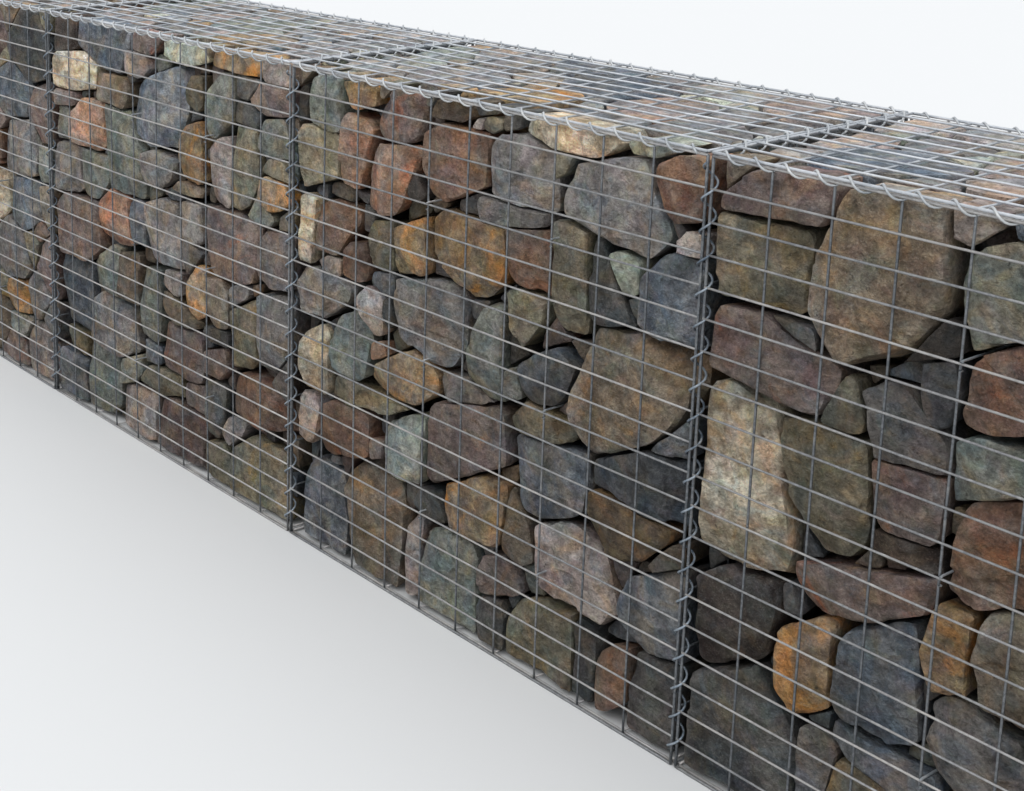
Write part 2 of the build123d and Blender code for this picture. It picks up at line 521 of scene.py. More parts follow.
def addWire(wires, x, y, z, edge, tone):
    wires.add(pointsOf(x, y, z), meshPanel["edgeWire" if edge else "wire"], tone)


# The stones press the face out a little, more in the middle of each bay
def bowOut(along, up, seed):
    fade = np.sin(math.pi * along) ** 0.7 * np.sin(math.pi * up) ** 0.7
    return fade * (0.62 + 0.38 * noiseAt(along * 3.1, up * 3.1, seed, seed)) * meshPanel["rowBow"]


def facePanel(bay, facing, name, node):
    wires = WireBundle()
    left = bayMiddles[bay] - wall["bayHalf"]
    share = np.linspace(0, 1, meshPanel["steps"])
    seed = 20 + bay + (4 if facing > 0 else 0)
    edgeY = facing * meshPanel["edgePlane"]
    x = left + share
    for level in range(21):
        z = wall["baseRow"] + wall["cell"] * level
        if level in (0, 20):
            addWire(wires, x, edgeY, z, True, meshPanel["edgeTones"][level // 20] * wireTone())
        else:
            z = z + meshPanel["waver"] * noiseAt(x * 5, level * 3.7, seed, 3)
            y = facing * (meshPanel["rowPlane"] + bowOut(share, level / 20, seed))
            addWire(wires, x, y, z, False, rowTone(level) * (meshPanel["farTone"] if bay < 2 else 1.0))
    z = wall["baseRow"] + share
    for column in range(11):
        x, y = left + column / 10, edgeY
        edge = column in (0, 10)
        if not edge:
            x = x + meshPanel["waver"] * noiseAt(z * 5, column * 5.3, seed + 0.5, 4)
            y = facing * (meshPanel["uprightPlane"] + bowOut(column / 10, share, seed))
        addWire(wires, x, y, z, edge, meshPanel["uprightTone"] * wireTone())
    wires.piece(name, "meshZinc", [node], "galvanised_mesh")


# The lid lies on the stones, up and down by a few millimetres
def lidRise(x, y, seed):
    across = np.clip((y + 0.25) / 0.5, 0, 1)
    fade = np.clip(np.sin(math.pi * across), 0, 1) ** 0.6
    return fade * (meshPanel["lidRise"] * noiseAt(x * 5, y * 5, seed, seed) - meshPanel["lidSag"])


def lidPanel(bay, name, node):
    wires = WireBundle()
    left = bayMiddles[bay] - wall["bayHalf"]
    seed = 40 + bay
    x = left + np.linspace(0, 1, meshPanel["steps"])
    for row in range(11):
        y, z = -0.25 + wall["cell"] * row, meshPanel["lidEdgeLevel"]
        edge = row in (0, 10)
        if not edge:
            z = meshPanel["lidRowLevel"] + lidRise(x, y, seed)
            y = y + meshPanel["lidWaver"] * noiseAt(x * 9, y * 31, seed + 0.3, 5)
        addWire(wires, x, y, z, edge, wireTone() * meshPanel["lidEdgeTone" if edge else "lidTone"])
    y = np.linspace(-0.25, 0.25, 13)
    for column in range(11):
        x, z = left + 0.1 * column, meshPanel["lidEdgeLevel"]
        edge = column in (0, 10)
        if not edge:
            z = meshPanel["lidCrossLevel"] + lidRise(x, y, seed)
        addWire(wires, x, y, z, edge, meshPanel["lidCrossTone"] * wireTone())
    wires.piece(name, "lidZinc", [node], "galvanised_mesh")


def basePanel(name, node):
    wires = WireBundle()
    (xLow, yLow, _), (xHigh, yHigh, _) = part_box(node)
    inset = meshPanel["edgeWire"]
    xLow, yLow, xHigh, yHigh = xLow + inset, yLow + inset, xHigh - inset, yHigh - inset
    for row in range(6):
        edge = row in (0, 5)
        x, y = np.linspace(xLow, xHigh, 11), yLow + (yHigh - yLow) * row / 5
        addWire(wires, x, y, meshPanel["baseRowLevels"][edge], edge, wireTone())
    for column in range(11):
        edge = column in (0, 10)
        x, y = xLow + (xHigh - xLow) * column / 10, np.linspace(yLow, yHigh, 6)
        addWire(wires, x, y, meshPanel["baseCrossLevel"], edge, wireTone())
    wires.piece(name, "meshZinc", [node], "galvanised_mesh")


# A full mesh at an end of the wall, or a wider one between two bays, drawn duller as painted shade
def crossPanel(place, outwards, rows, name, node):
    wires = WireBundle()
    low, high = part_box(node)
    yLow, yHigh = low[1] + meshPanel["edgeWire"], high[1] - meshPanel["edgeWire"]
    atEnd = rows == 20
    bow = meshPanel["endBow"] if atEnd else 0.0
    tone = 1.0 if atEnd else meshPanel["partitionTone"]
    offset = meshPanel["crossOffset"]
    y = np.linspace(yLow, yHigh, 11)
    across = np.linspace(0, 1, 11)
    for level in range(rows + 1):
        edge = level in (0, rows)
        bulge = bow * np.sin(math.pi * across) * math.sin(math.pi * level / rows)
        x = place if edge else place + outwards * (offset + bulge)
        addWire(wires, x, y, wall["baseRow"] + level / rows, edge, tone * wireTone())
    up = np.linspace(0, 1, 21)
    for column in range(6):
        edge = column in (0, 5)
        bulge = bow * math.sin(math.pi * column / 5) * np.sin(math.pi * up)
        x = place if edge else place + outwards * (-offset + bulge)
        y = yLow + (yHigh - yLow) * column / 5
        addWire(wires, x, y, wall["baseRow"] + up, edge, 0.95 * tone * wireTone())
    wires.piece(name, "meshZinc", [node], "galvanised_mesh")


for bay in range(4):
    number = bay + 1
    facePanel(bay, -1, f"frontMesh{number}", f"front_panel_{number}")
    facePanel(bay, 1, f"backMesh{number}", f"back_panel_{number}")
    lidPanel(bay, f"lidMesh{number}", f"lid_panel_{number}")
    basePanel(f"baseMesh{number}", f"base_panel_{number}")
crossPanel(wall["joints"][0], -1, 20, "leftEndMesh", "left_end_panel")
crossPanel(wall["joints"][4], 1, 20, "rightEndMesh", "right_end_panel")
for joint in (1, 2, 3):
    crossPanel(wall["joints"][joint], -1, 10, f"partitionMesh{joint}", f"partition_panel_{joint}")
print("mesh panels made")


spiral = {
    "wire": 0.0019,
    "jointRadii": (0.0104, 0.0125),  # across and in depth
    "cornerRadii": (0.0116, 0.0120),
    "edgeRadii": (0.0080, 0.0080),
    "crossRadii": (0.0108, 0.0108),
    "pitch": 0.05,
    "turnSteps": 14,
    "laceSteps": 12,
    "depth": 0.24525,  # of the upright spirals' middle
    "cornerPlace": 2.0183,
    "span": (0.0225, 0.9925),
    "edgePlace": (0.2488, 1.0055),  # of the lid's front and back spirals, in depth and height
    "edgeReach": 0.4875,
    "crossLevel": 1.0050,
    "crossReach": 0.225,
    # painted light and shade: the lid's lacing is drawn brighter than the upright spirals
    "tone": 0.95,
    "laceTone": 1.12,
}


def helixPath(start, end, firstWay, secondWay, radii, phase, turnSteps, wobble, seed):
    start, end = np.array(start), np.array(end)
    length = np.linalg.norm(end - start)
    run = (end - start) / length
    steps = int(round(length / spiral["pitch"] * turnSteps))
    s = np.linspace(0, length, steps + 1)
    angle = 2 * math.pi * s / spiral["pitch"] + math.radians(phase)
    swell = 1 + wobble * noiseAt(s * 9, seed, 0, seed)
    return (start + s[:, None] * run + (radii[0] * swell * np.cos(angle))[:, None] * np.array(firstWay)
            + (radii[1] * swell * np.sin(angle))[:, None] * np.array(secondWay))


# Upright spirals: each turn passes the front at the level of a row and rises to the right
def uprightSpiral(x, facing, radii, name, node):
    wires = WireBundle()
    y = facing * spiral["depth"]
    low, high = spiral["span"]
    path = helixPath((x, y, low), (x, y, high), (1, 0, 0), (0, 1, 0), radii, facing * 90 - 144,
                     spiral["turnSteps"], 0.05, int(abs(x) * 10) + 7)
    wires.add(path, spiral["wire"], spiral["tone"])
    wires.piece(name, "spiralZinc", [node], "galvanised_binder")


for facing, side in ((-1, "front"), (1, "back")):
    for joint in (1, 2, 3):
        uprightSpiral(wall["joints"][joint], facing, spiral["jointRadii"], f"{side}Spiral{joint}",
                      f"{side}_binder_{joint}")
    for end, endName in ((-1, "left"), (1, "right")):
        uprightSpiral(end * spiral["cornerPlace"], facing, spiral["cornerRadii"],
                      f"{side}{endName.capitalize()}Spiral", f"{side}_{endName}_corner_binder")

# Spirals that lace the lids down, along the front and back edges and across at the joints
for bay in range(4):
    wires = WireBundle()
    left, right = bayMiddles[bay] - spiral["edgeReach"], bayMiddles[bay] + spiral["edgeReach"]
    depth, level = spiral["edgePlace"]
    for facing in (-1, 1):
        path = helixPath((left, facing * depth, level), (right, facing * depth, level), (0, 1, 0), (0, 0, 1),
                         spiral["edgeRadii"], 20, spiral["laceSteps"], 0.06, 60 + bay)
        wires.add(path, spiral["wire"], spiral["laceTone"])
    wires.piece(f"lidEdgeSpiral{bay + 1}", "laceZinc", [], "galvanised_binder")
for joint, x in enumerate(wall["joints"]):
    wires = WireBundle()
    if joint in (0, 4):
        x -= math.copysign(meshPanel["edgeWire"], x)
    reach, level = spiral["crossReach"], spiral["crossLevel"]
    path = helixPath((x, -reach, level), (x, reach, level), (1, 0, 0), (0, 0, 1), spiral["crossRadii"],
                     70, spiral["laceSteps"], 0.05, 70 + joint)
    wires.add(path, spiral["wire"], spiral["laceTone"])
    wires.piece(f"lidCrossSpiral{joint + 1}", "laceZinc", [], "galvanised_binder")

braceTie = {
    "wire": 0.0019,
    "columns": (4, 7),
    "rows": (4, 10, 16),
    "drop": 0.0135,
    "beside": 0.0043,
    "reach": 0.2560,
    "tone": 1.1,
}


# A tie passes through the stones and turns down over a row at each face
def tiePath(x, z):
    reach, drop = braceTie["reach"], braceTie["drop"]
    half = [(reach - 0.0052, z - drop), (reach - 0.0008, z - drop * 0.86), (reach, z - drop * 0.45),
            (reach - 0.0008, z - 0.0012), (reach - 0.0060, z + 0.0002), (reach - 0.0300, z),
            (reach - 0.1300, z)]
    front = [(x, -y, level) for y, level in half]
    back = [(x, y, level) for y, level in reversed(half)]
    return front + back


for bay in range(4):
    wires = WireBundle()
    for column in braceTie["columns"]:
        for row in braceTie["rows"]:
            x = bayMiddles[bay] - wall["bayHalf"] + 0.1 * column + braceTie["beside"]
            z = wall["baseRow"] + wall["cell"] * row + braceTie["beside"]
            wires.add(tiePath(x, z), braceTie["wire"], braceTie["tone"])
    wires.piece(f"bracingTies{bay + 1}", "tieZinc", [f"bracing_ties_{bay + 1}"], "galvanised_binder")
print("spirals and ties made")


def hullOf(points):
    points = sorted(set(points))

    def half(sequence):
        kept = []
        for p in sequence:
            while len(kept) > 1 and ((kept[-1][0] - kept[-2][0]) * (p[1] - kept[-2][1])
                                     - (kept[-1][1] - kept[-2][1]) * (p[0] - kept[-2][0])) <= 0:
                kept.pop()
            kept.append(p)
        return kept[:-1]

    return half(points) + half(reversed(points))


# Cuts a convex outline back to nu * u + nv * v <= limit
def cutOutline(outline, nu, nv, limit):
    kept = []
    for start, end in zip(outline, outline[1:] + outline[:1]):
        a = nu * start[0] + nv * start[1] - limit
        b = nu * end[0] + nv * end[1] - limit
        if a <= 0:
            kept.append(start)
        if a * b < 0:
            t = a / (a - b)
            kept.append((start[0] + t * (end[0] - start[0]), start[1] + t * (end[1] - start[1])))
    return kept


def sidesOf(outline):
    sides = []
    for start, end in zip(outline, outline[1:] + outline[:1]):
        du, dv = end[0] - start[0], end[1] - start[1]
        length = math.hypot(du, dv)
        if length < 1e-6:
            continue
        nu, nv = dv / length, -du / length
        sides.append((nu, nv, nu * start[0] + nv * start[1]))
    return sides


def growOutline(outline, by, region):
    grown = list(region)
    for nu, nv, limit in sidesOf(outline):
        grown = cutOutline(grown, nu, nv, limit + by)
    return grown


def areaOf(outline):
    return 0.5 * sum(a[0] * b[1] - b[0] * a[1] for a, b in zip(outline, outline[1:] + outline[:1]))


# Least distance from the middle of an outline to one of its sides
def narrowest(outline):
    u = sum(p[0] for p in outline) / len(outline)
    v = sum(p[1] for p in outline) / len(outline)
    return min(limit - nu * u - nv * v for nu, nv, limit in sidesOf(outline))


# Keeps two neighbouring outlines a joint apart, along the line where they overlap least
def partNeighbours(first, second, joint):
    best = None
    for one, other, order in ((first, second, 1), (second, first, -1)):
        for nu, nv, limit in sidesOf(one):
            nearest = min(nu * p[0] + nv * p[1] for p in other)
            if best is None or limit - nearest < best[0]:
                best = (limit - nearest, nu, nv, (limit + nearest) / 2, order)
    overlap, nu, nv, middle, order = best
    if overlap < -joint:
        return first, second
    if order < 0:
        first, second = second, first
    first = cutOutline(first, nu, nv, middle - joint / 2)
    second = cutOutline(second, -nu, -nv, -(middle + joint / 2))
    return (first, second) if order > 0 else (second, first)


def boxOutline(u0, u1, v0, v1):
    return [(u0, v0), (u1, v0), (u1, v1), (u0, v1)]


def boundsOf(outline):
    us, vs = zip(*outline)
    return min(us), max(us), min(vs), max(vs)


# How far each spot is from the nearest outline
def clearanceOf(spots, outlines):
    clear = np.full(len(spots), 9.0)
    for outline in outlines:
        sides = np.array(sidesOf(outline))
        away = (spots @ sides[:, :2].T - sides[:, 2]).max(axis=1)
        clear = np.minimum(clear, away)
    return clear


packing = {
    "joint": 0.0032,
    "flat": 1.2,  # how much wider than high the stones lie
    "shares": (1.45, 1.1, 0.8, 0.56, 0.38),  # sizes, largest first
    "lidShares": (1.9, 1.3, 0.9, 0.62, 0.42),
    "tries": 260,  # for each size
    "overlap": 0.93,
    "leastStone": 0.0004,
    "gridInset": 0.008,
    "gridStep": 0.009,
    "edgeRoom": 0.010,
    "mostFillers": 400,
    "widestFiller": 0.09,
    "leastFiller": 0.00025,
    "fillJoint": 0.0022,  # round the small stones between traced ones, and the least room that takes one
    "fillLeast": 0.0085,
    "lidLeast": 0.010,
}


# Smaller stones for the room that the larger ones leave
def fillRoom(outlines, region, joint, least):
    uLow, uHigh, vLow, vHigh = boundsOf(region)
    inset, step = packing["gridInset"], packing["gridStep"]
    gridU, gridV = np.meshgrid(np.arange(uLow + inset, uHigh, step), np.arange(vLow + inset, vHigh, step))
    spots = np.stack([gridU.ravel(), gridV.ravel()], axis=1)
    wallRoom = np.minimum(np.minimum(spots[:, 0] - uLow, uHigh - spots[:, 0]),
                          np.minimum(spots[:, 1] - vLow, vHigh - spots[:, 1])) + packing["edgeRoom"]
    clear = np.minimum(clearanceOf(spots, outlines), wallRoom)
    added = []
    while len(added) < packing["mostFillers"]:
        best = int(np.argmax(clear))
        if clear[best] < least:
            break
        u, v = spots[best]
        reach = min(clear[best], packing["widestFiller"]) * 2.1
        made = boxOutline(max(u - reach, uLow), min(u + reach, uHigh),
                          max(v - reach, vLow), min(v + reach, vHigh))
        for outline in outlines + added:
            side = max(sidesOf(outline), key=lambda s: s[0] * u + s[1] * v - s[2])
            away = side[0] * u + side[1] * v - side[2]
            if away < reach * 1.5:
                made = cutOutline(made, -side[0], -side[1], -(side[2] + joint))
            if len(made) < 3:
                break
        if len(made) < 3 or areaOf(made) < packing["leastFiller"]:
            clear[best] = 0
            continue
        added.append(made)
        clear = np.minimum(clear, clearanceOf(spots, [made]))
        clear[best] = 0
    return added


# A face packed with stones of mixed sizes, each cut off half way to its neighbours
def packFace(region, size, seed, flat=packing["flat"], shares=packing["shares"]):
    chance = np.random.default_rng(seed)
    uLow, uHigh, vLow, vHigh = boundsOf(region)
    placed = []
    for share in shares:
        for _ in range(packing["tries"]):
            radius = size * 0.5 * share * chance.uniform(0.9, 1.1)
            u, v = chance.uniform(uLow, uHigh), chance.uniform(vLow, vHigh)
            if all(math.hypot(u - p[0], (v - p[1]) * flat) > (radius + p[2]) * packing["overlap"]
                   for p in placed):
                placed.append((u, v, radius))
    outlines = []
    for index, (u, v, radius) in enumerate(placed):
        outline = list(region)
        for other, (u2, v2, radius2) in enumerate(placed):
            if other == index or abs(u2 - u) > 3 * size or abs(v2 - v) > 3 * size:
                continue
            nu, nv = 2 * (u2 - u), 2 * (v2 - v) * flat * flat
            reach = (u2 ** 2 - u ** 2) + (v2 ** 2 - v ** 2) * flat * flat + radius ** 2 - radius2 ** 2
            length = math.hypot(nu, nv)
            outline = cutOutline(outline, nu / length, nv / length, reach / length - packing["joint"] / 2)
            if len(outline) < 3:
                break
        if len(outline) >= 3 and areaOf(outline) > packing["leastStone"]:
            outlines.append(outline)
    return outlines


# Stones seen in the photograph: kind, corners in millimetres from the fourth joint and above the
# base wire, and for some a tone
bayFourStones = [
    ("purpleBrown", [17, 926, 38, 955, 78, 986, 110, 994, 206, 994, 207, 945, 190, 933, 60, 924]),
    ("olive", [34, 925, 165, 928, 180, 905, 180, 812, 165, 800, 10, 797, 18, 870]),
    ("brown", [225, 992, 300, 998, 372, 998, 381, 940, 378, 860, 345, 800, 300, 765, 240, 748, 205, 772, 182,
        815, 182, 905, 212, 940], 1.25),
    ("darkBrown", [345, 798, 378, 852, 402, 850, 408, 818, 375, 782, 312, 758], 0.35),
    ("pinkGrey", [376, 966, 374, 998, 440, 998, 445, 985, 402, 957]),
    ("greyGreen", [388, 890, 402, 935, 425, 958, 455, 970, 520, 972, 520, 880, 460, 838, 412, 812, 400, 850]),
    ("brownRed", [414, 802, 450, 832, 500, 850, 540, 830, 540, 750, 440, 715, 412, 715]),
    ("purpleBrown", [13, 690, 17, 735, 40, 780, 125, 787, 190, 750, 236, 742, 232, 680, 190, 652, 60,
        672], 1.1),
    ("olive", [236, 740, 262, 730, 280, 688, 275, 662, 240, 650, 198, 652, 232, 684]),
    ("darkGrey", [132, 786, 190, 784, 198, 754, 150, 776], 0.9),
    ("midGrey", [270, 715, 298, 740, 352, 742, 394, 702, 400, 640, 300, 632, 286, 660], 0.9),
    ("purpleBrown", [292, 628, 400, 636, 396, 552, 380, 528, 345, 522, 302, 542], 1.1),
    ("slate", [362, 802, 398, 797, 408, 750, 398, 712, 372, 702, 360, 760], 0.5),
    ("olive", [148, 640, 195, 656, 285, 650, 292, 600, 293, 498, 268, 464, 224, 447, 194, 478, 162, 540]),
    ("cream", [26, 655, 60, 670, 110, 667, 145, 644, 150, 600, 158, 520, 181, 489, 175, 394, 157, 385, 74,
        379, 13, 422, 12, 560]),
    ("brownRed", [428, 600, 455, 640, 540, 645, 560, 520, 440, 469, 413, 484]),
    ("greyGreen", [405, 690, 440, 710, 540, 708, 540, 652, 462, 638, 430, 602, 408, 612]),
    ("purpleBrown", [185, 394, 190, 431, 232, 443, 400, 493, 397, 439, 314, 392, 271, 375, 203, 353]),
    ("darkBrown", [14, 211, 14, 324, 69, 375, 109, 387, 161, 385, 167, 339, 156, 270, 119, 235, 50, 195]),
    ("ochre", [167, 314, 200, 340, 251, 373, 259, 317, 257, 230, 202, 196, 180, 176, 173, 191, 165,
        252], 1.1),
    ("slate", [260, 259, 260, 327, 281, 373, 319, 389, 382, 428, 380, 366, 391, 317, 403, 287, 396, 250, 357,
        225, 313, 211, 273, 226]),
    ("ochre", [402, 457, 449, 459, 446, 388, 454, 347, 420, 337, 387, 347, 378, 358]),
    ("brown", [476, 481, 540, 500, 556, 435, 546, 337, 477, 347, 461, 411]),
    ("midGrey", [413, 317, 431, 339, 476, 333, 528, 316, 560, 236, 463, 193, 424, 223, 410, 277], 0.9),
    ("darkGrey", [18, 179, 89, 218, 149, 252, 172, 220, 189, 189, 209, 181, 214, 113, 205, 57, 146, 34, 18,
        34, 14, 110], 1.1),
    ("midGrey", [221, 186, 244, 187, 279, 167, 268, 113, 257, 51, 217, 51]),
    ("slate", [263, 226, 313, 208, 358, 221, 422, 226, 435, 188, 402, 152, 310, 171, 263, 191]),
    ("olive", [274, 104, 278, 160, 310, 167, 402, 148, 415, 90, 306, 64]),
    ("darkBrown", [296, 496, 300, 538, 345, 518, 392, 546, 402, 501], 0.7),
]
bayThreeStones = [
    ("cream", [-373, 972, -359, 1000, -172, 1001, -162, 985, -201, 960, -348, 957]),
    ("darkGrey", [-481, 991, -443, 1001, -418, 996, -431, 984, -472, 981], 0.7),
    ("olive", [-466, 964, -452, 983, -419, 980, -420, 973, -447, 957]),
    ("pinkGrey", [-495, 956, -481, 975, -465, 976, -470, 958], 1.4),
    ("darkGrey", [-416, 975, -416, 1000, -375, 1000, -382, 978, -408, 967], 0.8),
    ("midGrey", [-452, 851, -446, 936, -413, 966, -378, 975, -354, 955, -302, 953, -296, 849, -340,
        843], 1.1),
    ("midGrey", [-290, 849, -278, 890, -254, 946, -203, 951, -163, 968, -105, 977, -95, 928, -67, 891, -66,
        853, -110, 811, -158, 818, -206, 843], 1.1),
    ("greyGreen", [-294, 949, -263, 949, -276, 923, -293, 912], 1.1),
    ("brownRed", [-100, 933, -89, 971, -41, 990, -16, 988, -16, 902, -50, 888, -84, 910], 0.9),
    ("paleGreen", [-157, 985, -113, 998, -62, 1000, -41, 994, -93, 979, -143, 975], 0.9),
    ("pinkGrey", [-46, 857, -29, 876, -14, 876, -14, 841, -42, 840], 1.9),
    ("slate", [-115, 784, -98, 808, -64, 839, -16, 840, -14, 697, -86, 690, -114, 706]),
    ("paleGreen", [-189, 780, -176, 809, -143, 816, -120, 800, -119, 758, -147, 744, -175, 757], 0.8),
    ("olive", [-295, 835, -229, 835, -223, 694, -229, 649, -267, 642, -293, 673], 0.9),
    ("darkGrey", [-219, 831, -177, 826, -191, 785, -178, 755, -148, 740, -127, 738, -124, 696, -179, 685,
        -219, 694], 0.8),
    ("brown", [-199, 682, -118, 696, -14, 685, -12, 640, -27, 601, -50, 544, -93, 511, -156, 479, -204, 456,
        -227, 475, -246, 510, -253, 544, -228, 598, -202, 636]),
    ("brownRed", [-407, 801, -340, 804, -309, 817, -308, 696, -352, 701, -402, 721]),
    ("midGrey", [-478, 809, -472, 843, -391, 840, -309, 842, -309, 825, -361, 808, -448, 802], 0.9),
    ("olive", [-401, 685, -376, 697, -315, 692, -318, 654, -360, 597, -394, 635], 1.3),
    ("greyGreen", [-492, 557, -478, 602, -452, 649, -404, 654, -399, 482, -437, 475, -489, 496]),
    ("slate", [-379, 558, -332, 593, -285, 617, -236, 597, -259, 544, -282, 519, -350, 507], 0.55),
    ("greyGreen", [-398, 541, -379, 554, -353, 536, -356, 507, -397, 501]),
    ("olive", [-394, 495, -348, 503, -250, 500, -231, 468, -299, 442, -338, 451, -389, 448]),
    ("slate", [-348, 451, -338, 437, -289, 432, -211, 463, -203, 405, -207, 360, -240, 330, -300, 305, -351,
        310, -362, 360, -374, 429]),
    ("slate", [-199, 448, -146, 473, -88, 503, -14, 518, -14, 407, -59, 401, -129, 395, -199, 408], 0.55),
    ("slate", [-85, 507, -48, 536, -14, 598, -12, 523, -55, 511], 0.75),
    ("ochre", [-202, 378, -189, 402, -149, 406, -109, 391, -32, 397, -30, 370, -72, 327, -110, 310, -160, 302,
        -178, 329, -168, 359], 0.55),
    ("brown", [-66, 316, -30, 366, -14, 378, -14, 346, -50, 310], 0.6),
    ("slate", [-131, 232, -104, 284, -62, 310, -14, 343, -12, 172, -60, 167, -89, 186, -129, 209]),
    ("pinkGrey", [-312, 289, -290, 305, -240, 317, -215, 314, -160, 291, -149, 240, -135, 202, -167, 167,
        -201, 170, -240, 178, -298, 181, -311, 228], 1.55),
    ("ochre", [-542, 298, -512, 314, -462, 327, -393, 332, -385, 258, -388, 232, -411, 211, -454, 201, -526,
        201, -546, 235]),
    ("brown", [-383, 335, -363, 330, -351, 308, -330, 289, -317, 220, -344, 205, -401, 210, -384, 237], 0.9),
    ("purpleBrown", [-449, 144, -432, 183, -390, 196, -346, 167, -339, 145, -397, 117, -439, 109]),
    ("olive", [-373, 48, -373, 91, -342, 140, -298, 152, -219, 162, -216, 53, -297, 39]),
    ("greyGreen", [-598, 44, -596, 165, -546, 190, -475, 185, -454, 144, -445, 57, -476, 37], 1.1),
    ("darkGrey", [-443, 105, -391, 113, -376, 85, -380, 50, -441, 48], 1.1),
    ("darkGrey", [-213, 158, -180, 160, -167, 116, -171, 52, -211, 51], 0.7),
    ("brownRed", [-163, 118, -132, 147, -102, 152, -97, 63, -153, 46, -161, 86]),
    ("midGrey", [-94, 151, -60, 161, -14, 166, -14, 50, -92, 45], 0.5),
    ("midGrey", [-575, 487, -509, 498, -468, 494, -422, 475, -467, 454, -518, 449, -569, 446]),
    ("purpleBrown", [-601, 273, -599, 420, -569, 440, -498, 449, -437, 475, -391, 467, -389, 352, -461, 345,
        -521, 337, -549, 298, -554, 261]),
    ("greyGreen", [-945, 896, -944, 942, -929, 982, -883, 1000, -854, 988, -848, 942, -851, 891, -900,
        891], 1.4),
    ("darkGrey", [-992, 941, -958, 970, -947, 942, -947, 906, -975, 891, -992, 896], 0.4),
    ("ochre", [-851, 948, -842, 983, -776, 998, -747, 995, -750, 960, -804, 942], 1.0),
    ("purpleBrown", [-742, 904, -743, 954, -703, 987, -618, 996, -623, 923, -657, 903, -725, 896]),
    ("brownRed", [-626, 866, -618, 927, -576, 953, -521, 960, -460, 959, -452, 926, -457, 863, -509, 845,
        -568, 811, -605, 817]),
    ("brown", [-599, 966, -586, 987, -496, 1002, -488, 980, -520, 966], 0.5),
    ("brownRed", [-849, 882, -844, 916, -828, 933, -774, 928, -749, 907, -758, 873, -776, 841, -782, 802,
        -800, 785, -850, 790], 1.7),
    ("brownRed", [-770, 853, -746, 885, -706, 888, -633, 902, -630, 870, -656, 847, -658, 802, -692, 790,
        -692, 765, -735, 752, -780, 760, -776, 800], 1.5),
    ("darkBrown", [-653, 805, -652, 840, -636, 846, -610, 816, -627, 802], 0.6),
    ("olive", [-976, 885, -940, 891, -871, 883, -856, 852, -858, 800, -905, 790, -955, 765, -975, 800], 1.55),
    ("cream", [-976, 740, -950, 748, -918, 740, -922, 690, -930, 610, -975, 612, -979, 640, -972, 700], 1.0),
    ("brownRed", [-914, 735, -880, 750, -805, 745, -802, 700, -845, 685, -848, 640, -924, 640, -918, 690]),
    ("brownRed", [-845, 650, -842, 676, -772, 686, -762, 650, -764, 620, -790, 605, -843, 606], 0.8),
    ("olive", [-768, 692, -763, 732, -692, 745, -690, 652, -722, 646, -762, 652]),
    ("ochre", [-688, 652, -688, 738, -614, 772, -601, 700, -603, 668, -650, 655], 0.95),
    ("ochre", [-601, 702, -610, 772, -566, 796, -412, 797, -407, 722, -423, 688, -455, 658, -499, 650, -524,
        671]),
    ("midGrey", [-686, 560, -686, 640, -599, 662, -519, 665, -506, 638, -502, 557, -540, 504, -600, 502, -655,
        524, -676, 545]),
    ("pinkGrey", [-804, 570, -780, 598, -735, 596, -720, 580, -720, 520, -750, 512, -776, 530], 1.8),
    ("slate", [-762, 612, -758, 636, -696, 645, -690, 602, -720, 600, -740, 604], 0.75),
    ("darkGrey", [-714, 592, -692, 594, -678, 556, -700, 540, -714, 556], 0.5),
    ("midGrey", [-976, 590, -920, 603, -850, 600, -830, 600, -808, 590, -818, 560, -852, 538, -890, 505, -975,
        500, -986, 540], 1.1),
    ("pinkGrey", [-925, 612, -880, 636, -848, 634, -846, 606, -880, 604], 1.2),
    ("greyGreen", [-882, 440, -870, 490, -842, 530, -800, 543, -762, 520, -752, 470, -762, 420, -800, 404,
        -860, 406]),
    ("brownRed", [-752, 462, -745, 495, -715, 505, -708, 480], 1.2),
    ("cream", [-976, 390, -975, 420, -940, 470, -905, 488, -884, 470, -886, 430, -876, 390, -883, 351, -939,
        349], 1.2),
    ("ochre", [-762, 425, -740, 455, -700, 480, -645, 515, -612, 505, -571, 469, -576, 440, -619, 410, -690,
        397, -745, 402], 1.1),
    ("olive", [-870, 385, -850, 397, -760, 398, -700, 392, -650, 390, -700, 362, -799, 349, -869, 351], 1.1),
    ("greyGreen", [-704, 350, -680, 363, -620, 390, -606, 385, -605, 260, -660, 248, -692, 258, -706,
        299], 1.45),
    ("pinkGrey", [-984, 279, -972, 329, -929, 341, -906, 308, -911, 258, -939, 223, -976, 239], 1.7),
    ("brownRed", [-903, 318, -859, 339, -799, 347, -753, 339, -751, 259, -798, 247, -849, 227, -917, 214,
        -921, 248, -904, 278]),
    ("purpleBrown", [-749, 298, -714, 301, -712, 274, -749, 259], 1.2),
    ("slate", [-956, 148, -941, 193, -849, 197, -837, 149, -811, 141, -821, 54, -900, 44, -952, 51, -957,
        108], 1.35),
    ("brown", [-802, 236, -759, 247, -700, 234, -662, 243, -650, 176, -651, 116, -663, 54, -799, 43, -807, 97,
        -833, 147, -825, 186], 1.1),
    ("pinkGrey", [-635, 166, -616, 192, -602, 196, -602, 54, -633, 49, -639, 106], 1.2),
    ("darkGrey", [-617, 215, -601, 253, -548, 254, -526, 210, -592, 199], 0.8),
]
